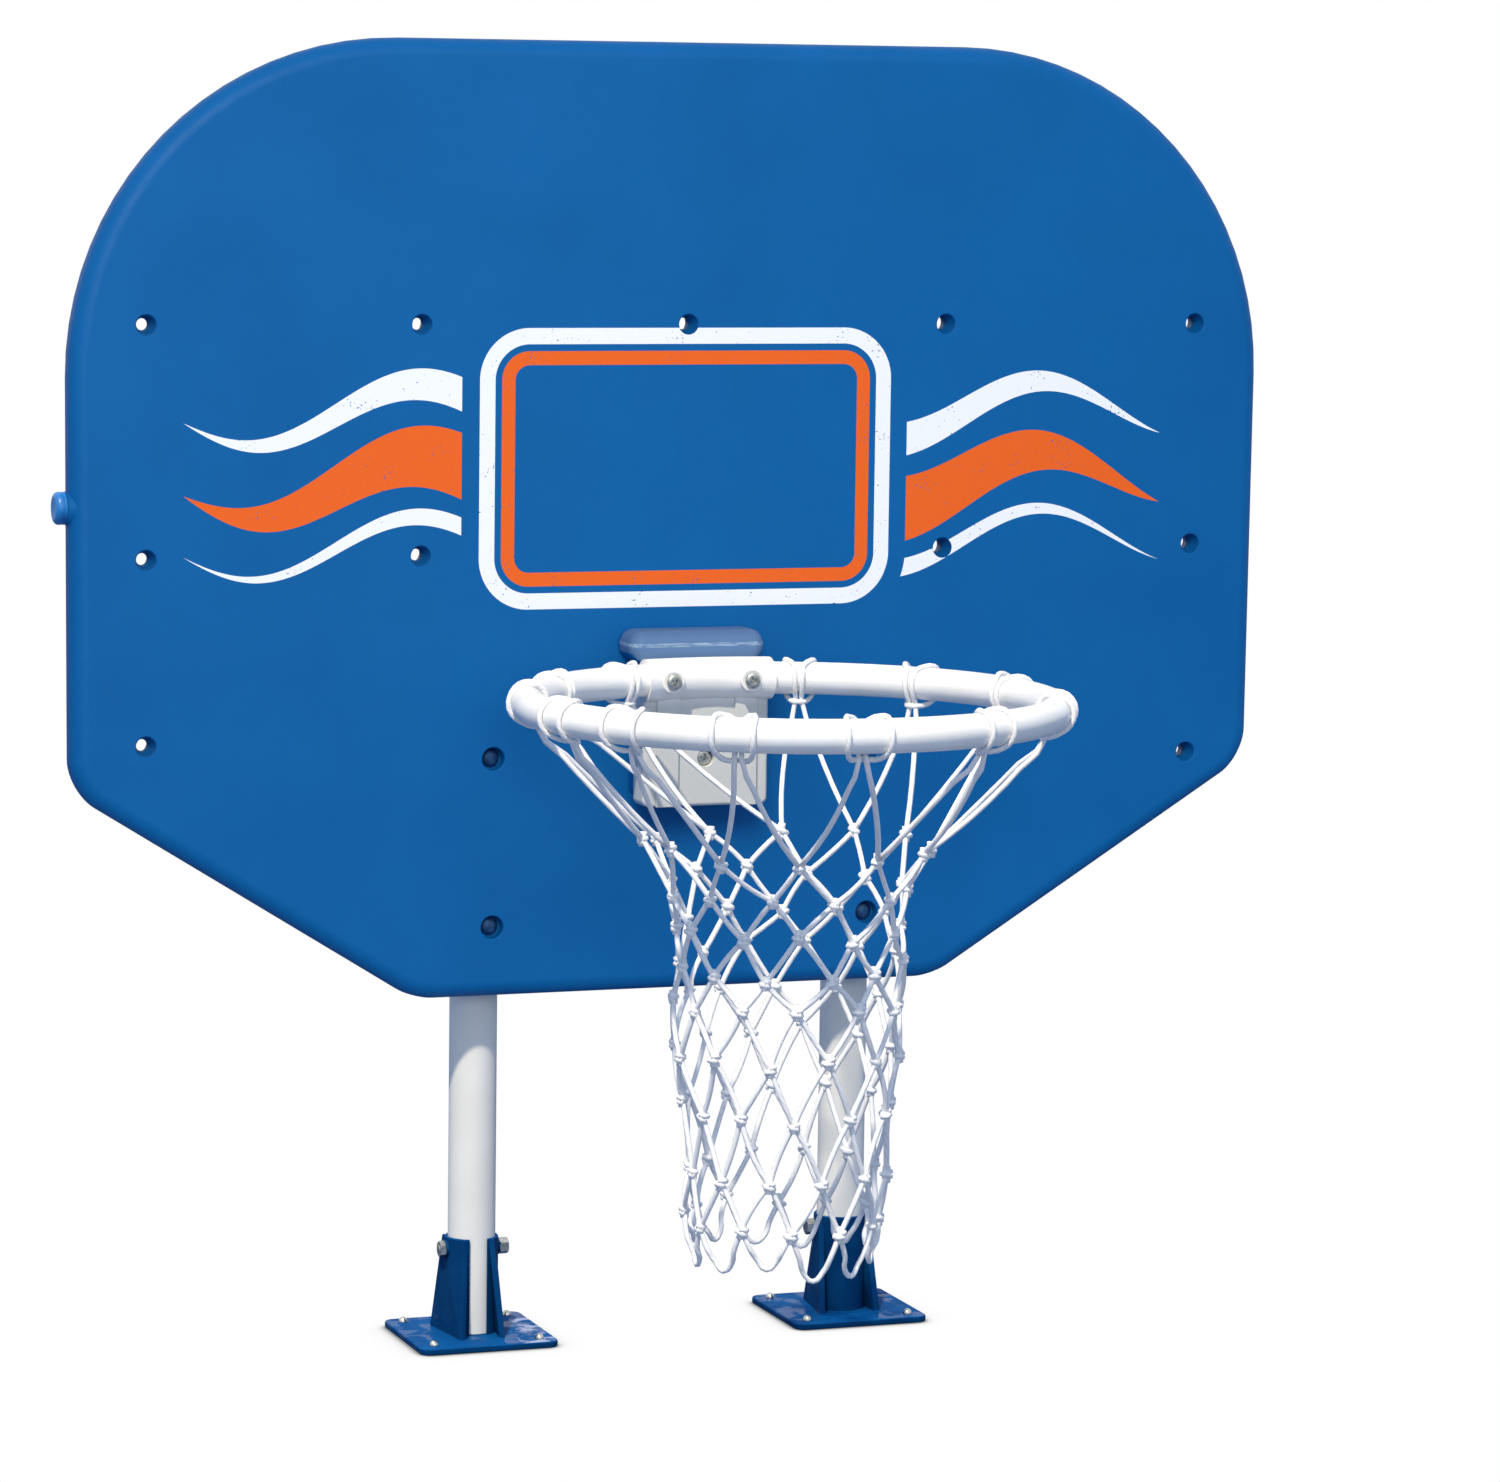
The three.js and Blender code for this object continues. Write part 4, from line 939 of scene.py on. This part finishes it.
under = recess_depth - clearance
washer_face = pole_y + pole_radius + clearance
washer_back = washer_face + washer_thick
washer_edge = washer_radius - 0.0003
nut_face = washer_back + clearance
tip = nut_face + nut_height + 0.004
for name, (x, z) in bolt_places.items():
    profile = [(0, under - 0.005)]
    for k in range(1, 8):
        angle = math.pi / 2 * k / 7
        profile.append((0.008 * math.sin(angle), under - 0.001 - 0.004 * math.cos(angle)))
    profile += [(0.008, under - 0.0002), (0.0078, under), (bolt_radius, under),
                (bolt_radius, nut_face - 0.004)]
    profile += threaded(bolt_radius, nut_face - 0.003, tip - 0.0006) + [(0, tip)]
    bolt = as_object(f"dome_bolt_{name}", turned(profile, "y", (x, 0, z), 32))
    fitted(bolt, shaded_zinc, "hoop", [f"board_bolt_{name}"])
    washer = as_object(f"washer_{name}", turned([
        (nut_bore, washer_face), (washer_edge, washer_face), (washer_radius, washer_face + 0.0003),
        (washer_radius, washer_face + 0.0013), (washer_edge, washer_back), (nut_bore, washer_back),
        (nut_bore, washer_face),
    ], "y", (x, 0, z), 40))
    fitted(washer, zinc, "hoop", [f"pole_washer_{name}"])
    nut = hexagon(nut_width, nut_face, nut_face + nut_height, "y", (x, 0, z))
    nut.name = f"hex_nut_{name}"
    worked(nut, "DIFFERENCE", [
        rod(nut_bore, nut_face - 0.01, nut_face + 0.02, "y", (x, 0, z), 32),
    ])
    fitted(nut, zinc, "hoop", [f"board_nut_{name}"])

# Deck sockets: deep blue mouldings. A square plate carries a sleeve that is split in front, two
# fins that lean in to the slot as they rise, and a round pad on each side for the cross bolt.
# Small domed screws hold its corners down. The right one is turned half round. The left one's plate
# top carries painted glints, a painted reflection.
socket_blue, socket_surface = new_finish(
    "socket_blue", linear(6, 53, 100), 0.3, Specular_IOR_Level=0.02
)
spot = node(socket_blue, "TexCoord", {}).outputs["Object"]
tone = ramped(socket_blue, noise(socket_blue, spot, 40, 4), 0.35, 0.7)
plain = mixed(socket_blue, tone, linear(4, 52, 97), linear(6, 60, 106))
# Faces turned up are painted up to twice as light as the sides: painted light from above.
facing = node(socket_blue, "NewGeometry", {}).outputs["Normal"]
upwards = node(socket_blue, "SeparateXYZ", {0: facing}).outputs["Z"]
painted_top_light = math_node(socket_blue, "MULTIPLY_ADD", upwards, 1.0, 1.0)
plain = node(socket_blue, "VectorMath", {0: plain, 1: painted_top_light}, operation="MULTIPLY").outputs[0]
# A strip of the left plate's top, right of the sleeve, gets pale noise flecks: painted glints that
# stand for a painted reflection.
across = node(socket_blue, "SeparateXYZ", {0: spot}).outputs["X"]
glint_strip = math_node(socket_blue, "COMPARE", across, home.x - pole_x + 0.048, 0.019)
level_face = math_node(socket_blue, "GREATER_THAN", upwards, 0.9)
glint_strip = math_node(socket_blue, "MULTIPLY", glint_strip, level_face)
painted_glints = ramped(socket_blue, noise(socket_blue, spot, 75, 3), 0.5, 0.62, 0.0, 0.75)
painted_glints = math_node(socket_blue, "MULTIPLY", glint_strip, painted_glints)
coloured = mixed(socket_blue, painted_glints, plain, linear(178, 186, 214))
wire(socket_blue, coloured, socket_surface.inputs["Base Color"])
gloss = ramped(socket_blue, noise(socket_blue, spot, 55, 3), 0.5, 0.58, 0.6, 0.14)
wire(socket_blue, gloss, socket_surface.inputs["Roughness"])
grained(socket_blue, socket_surface, noise(socket_blue, spot, 260, 3), 0.0003, 0.6)

plate_side = 0.127
plate_thick = 0.006
tower_top = 0.0925
sleeve_outer = 0.0238
web_foot = [(0.0295, 0.030), (0.0206, -0.038), (0.0158, -0.0365), (0.0240, 0.030)]
web_head = [(0.0243, 0.010), (0.0140, -0.0225), (0.0092, -0.0210), (0.0190, 0.010)]
pad_face = 0.0248
deck_hole = plate_side / 2 - 0.015


def leaning_web(side):
    """A fin beside the sleeve, which leans in to the slot's edge as it rises, with soft edges."""
    web = bmesh.new()
    for points, z in ((web_foot, 0.002), (web_head, tower_top)):
        for x, y in points:
            web.verts.new((side * x, y, z))
    bmesh.ops.convex_hull(web, input=web.verts[:])
    bmesh.ops.recalc_face_normals(web, faces=web.faces[:])
    bmesh.ops.bevel(
        web, geom=web.edges[:], offset=0.0007, offset_type="OFFSET", affect="EDGES",
        segments=2, profile=0.5, material=-1,
    )
    return web


for side, x, turn in (("left", -pole_x, 0), ("right", pole_x, math.pi)):
    socket_place = home + Vector((x, pole_y, 0))
    plate_shape = rounded_plate(rectangle(plate_side, -plate_side / 2, plate_side / 2, 0.010),
                                -plate_thick, 0, 0.0014, 8, 3)
    bmesh.ops.rotate(plate_shape, verts=plate_shape.verts[:], cent=(0, 0, 0),
                     matrix=Matrix.Rotation(-math.pi / 2, 3, "X"))
    socket = as_object(f"socket_{side}", plate_shape)
    worked(socket, "UNION", [
        turned([(0, 0.002), (sleeve_outer, 0.002), (sleeve_outer, tower_top - 0.001),
                (sleeve_outer - 0.001, tower_top), (0, tower_top)], "z", (0, 0, 0), 64),
        leaning_web(-1),
        leaning_web(1),
    ])
    worked(socket, "UNION", [
        turned([(0, -pad_face), (0.0072, -pad_face), (0.0078, 0.0006 - pad_face),
                (0.0078, pad_face - 0.0006), (0.0072, pad_face), (0, pad_face)],
               "x", (0, 0, bolt_height), 40),
    ])
    worked(socket, "DIFFERENCE", [
        turned([(0, plate_thick), (0.0214, plate_thick), (0.0214, tower_top - 0.0012),
                (0.0226, tower_top), (0.0226, 0.1), (0, 0.1)], "z", (0, 0, 0), 64),
    ])
    worked(socket, "DIFFERENCE", [
        block((-0.00825, -0.06, plate_thick), (0.00825, 0, 0.1)),
        rod(bolt_bore, -0.04, 0.04, "x", (0, 0, bolt_height), 24),
    ])
    corners = [(px, py) for px in (-deck_hole, deck_hole) for py in (-deck_hole, deck_hole)]
    worked(socket, "DIFFERENCE", [
        turned([(0, -overshoot), (0.0035, -overshoot), (0.0035, 0.005), (0.0043, 0.0062),
                (0.0043, 0.008), (0, 0.008)], "z", (px, py, 0), 28) for px, py in corners
    ])
    fitted(socket, socket_blue, "hoop", [f"deck_socket_{side}"],
           turn=turn, place=socket_place)
    screws = bmesh.new()
    for px, py in corners:
        dome = [(0.0039 * math.cos(a), 0.0064 + 0.0042 * math.sin(a))
                for a in (math.pi / 2 * k / 6 for k in range(7))]
        screw = turned([(0, 0.0006), (0.003, 0.0006), (0.003, 0.0062), (0.0039, 0.0062), *dome],
                       "z", (px, py, 0), 20)
        made = bpy.data.meshes.new("screw")
        screw.to_mesh(made)
        screw.free()
        screws.from_mesh(made)
    fitted(as_object(f"deck_screws_{side}", screws), zinc, "hoop", None,
           turn=turn, place=socket_place)

# Cross bolts: a bolt with a deep hexagon head through each socket and pole, its head towards the
# board's middle, with a thin nut on the outer side.
face = pad_face + clearance
tip = face + 0.0062
place = (0, 0, bolt_height)
for side, x, turn in (("left", -pole_x, 0), ("right", pole_x, math.pi)):
    socket_place = home + Vector((x, pole_y, 0))
    head = hexagon(nut_width, face, face + 0.008, "x", place)
    thread = threaded(bolt_radius, face - 0.004, tip - 0.0006)
    thread = [(radius, -along) for radius, along in thread]
    shank = turned([(0, -tip), *reversed(thread), (bolt_radius, -0.015),
                    (bolt_radius, face + 0.001), (0, face + 0.001)], "x", place, 32)
    worked(head, "UNION", [shank])
    head.name = f"hex_bolt_{side}"
    fitted(head, zinc, "hoop", [f"cross_bolt_{side}"], turn=turn, place=socket_place)
    nut = hexagon(nut_width, -face - 0.005, -face, "x", place)
    worked(nut, "DIFFERENCE", [rod(nut_bore, -0.05, 0, "x", place, 32)])
    nut.name = f"hex_nut_{side}"
    fitted(nut, zinc, "hoop", [f"cross_nut_{side}"], turn=turn, place=socket_place)

# Floor: a wide sheet that the camera sees white, with a soft shade where the hoop stands on it.
# Its own blue tints the light that it throws back up.
floor_shape = bmesh.new()
bmesh.ops.create_grid(floor_shape, x_segments=1, y_segments=1, size=14)
floor = as_object("floor", floor_shape)
paper, paper_surface = new_finish("white_paper", (0.13, 0.17, 0.26, 1), 0.9, Specular_IOR_Level=0.0)
rays = node(paper, "LightPath", {})
touched = node(paper, "AmbientOcclusion", {"Distance": 0.035}).outputs["AO"]
shade = ramped(paper, touched, 0.55, 0.97, 0.3, 1.0)
glow = node(paper, "Emission", {"Color": (1, 1, 1, 1), "Strength": shade})
seen = node(paper, "MixShader", {
    0: rays.outputs["Is Camera Ray"], 1: paper_surface.outputs[0], 2: glow.outputs[0],
})
paper_out = paper.node_tree.nodes["Material Output"]
wire(paper, seen.outputs[0], paper_out.inputs["Surface"])
floor.data.materials.append(paper)

# Light: a small high lamp for all but the board, a large soft one for the board alone, in which
# the rim and the net throw no shadow, a soft fill from the front, and pale blue from all round.
# The camera and reflections see the world white.
world = bpy.data.worlds.new("studio")
bpy.context.scene.world = world
world.use_nodes = True
sky = world.node_tree.nodes["Background"]
sky.inputs["Color"].default_value = (0.48, 0.66, 1.0, 1)
sky.inputs["Strength"].default_value = 0.72
rays = node(world, "LightPath", {}).outputs
shown = math_node(world, "MAXIMUM", rays["Is Camera Ray"], rays["Is Glossy Ray"])
shown = math_node(world, "MAXIMUM", shown, rays["Is Transmission Ray"])
white = node(world, "Background", {"Color": (1, 1, 1, 1), "Strength": 1.0})
either_sky = node(world, "MixShader", {0: shown, 1: sky.outputs[0], 2: white.outputs[0]})
wire(world, either_sky.outputs[0], world.node_tree.nodes["World Output"].inputs["Surface"])


def lamp(name, place, aim, size, power, colour):
    light = bpy.data.lights.new(name, "AREA")
    light.shape = "DISK"
    light.size = size
    light.energy = power
    light.color = colour
    holder = bpy.data.objects.new(name, light)
    holder.location = place
    holder.rotation_euler = (Vector(aim) - Vector(place)).to_track_quat("-Z", "Y").to_euler()
    bpy.context.scene.collection.objects.link(holder)
    return holder


def linked(name, pieces, state):
    """A set of pieces that a lamp lights, or that cast its shadow, or that it leaves out."""
    group = bpy.data.collections.new(name)
    for piece in pieces:
        group.objects.link(piece)
    for member in group.collection_objects:
        member.light_linking.link_state = state
    return group


sun = lamp("sun", (-2.89, -3.57, 7.15), (0, 0, 0.6), 0.4, 810, (1, 0.91, 0.75))
sun.light_linking.receiver_collection = linked("all_but_board", [board], "EXCLUDE")
panel = lamp("panel", (-1.8, -4.9, 3.6), (0, 0, 0.7), 2.5, 242, (1, 0.94, 0.83))
panel.light_linking.receiver_collection = linked("board_only", [board], "INCLUDE")
panel.light_linking.blocker_collection = linked("all_but_rim", [rim, net], "EXCLUDE")
lamp("fill", (-0.9, -5.6, 2.2), (0, 0, 0.5), 2.5, 46, (1, 0.94, 0.83))

# Camera: where the photograph was taken from, about 4.8 m in front of the hoop and to its left.
# Its angles and its focal length, given in the photograph's pixels, were fitted to the board.
focal_pixels, frame_pixels = 5457.9, 1500
eye = home + Vector((-1.5807, -4.4997, 1.0999))
yaw, pitch, roll = math.radians(20.055), math.radians(-6.745), math.radians(0.786)
ahead = Vector((math.sin(yaw) * math.cos(pitch), math.cos(yaw) * math.cos(pitch), math.sin(pitch)))
level_right = Vector((math.cos(yaw), -math.sin(yaw), 0))
level_up = level_right.cross(ahead)
right = level_right * math.cos(roll) + level_up * math.sin(roll)
top = level_up * math.cos(roll) - level_right * math.sin(roll)
camera_data = bpy.data.cameras.new("camera")
camera_data.sensor_width = 36
camera_data.lens = camera_data.sensor_width * focal_pixels / frame_pixels
camera_data.clip_start, camera_data.clip_end = 0.1, 60
camera = bpy.data.objects.new("camera", camera_data)
camera.matrix_world = (
    Matrix.Translation(eye) @ Matrix((right, top, -ahead)).transposed().to_4x4()
)
bpy.context.scene.collection.objects.link(camera)
bpy.context.scene.camera = camera
bpy.context.scene.view_settings.view_transform = "Standard"
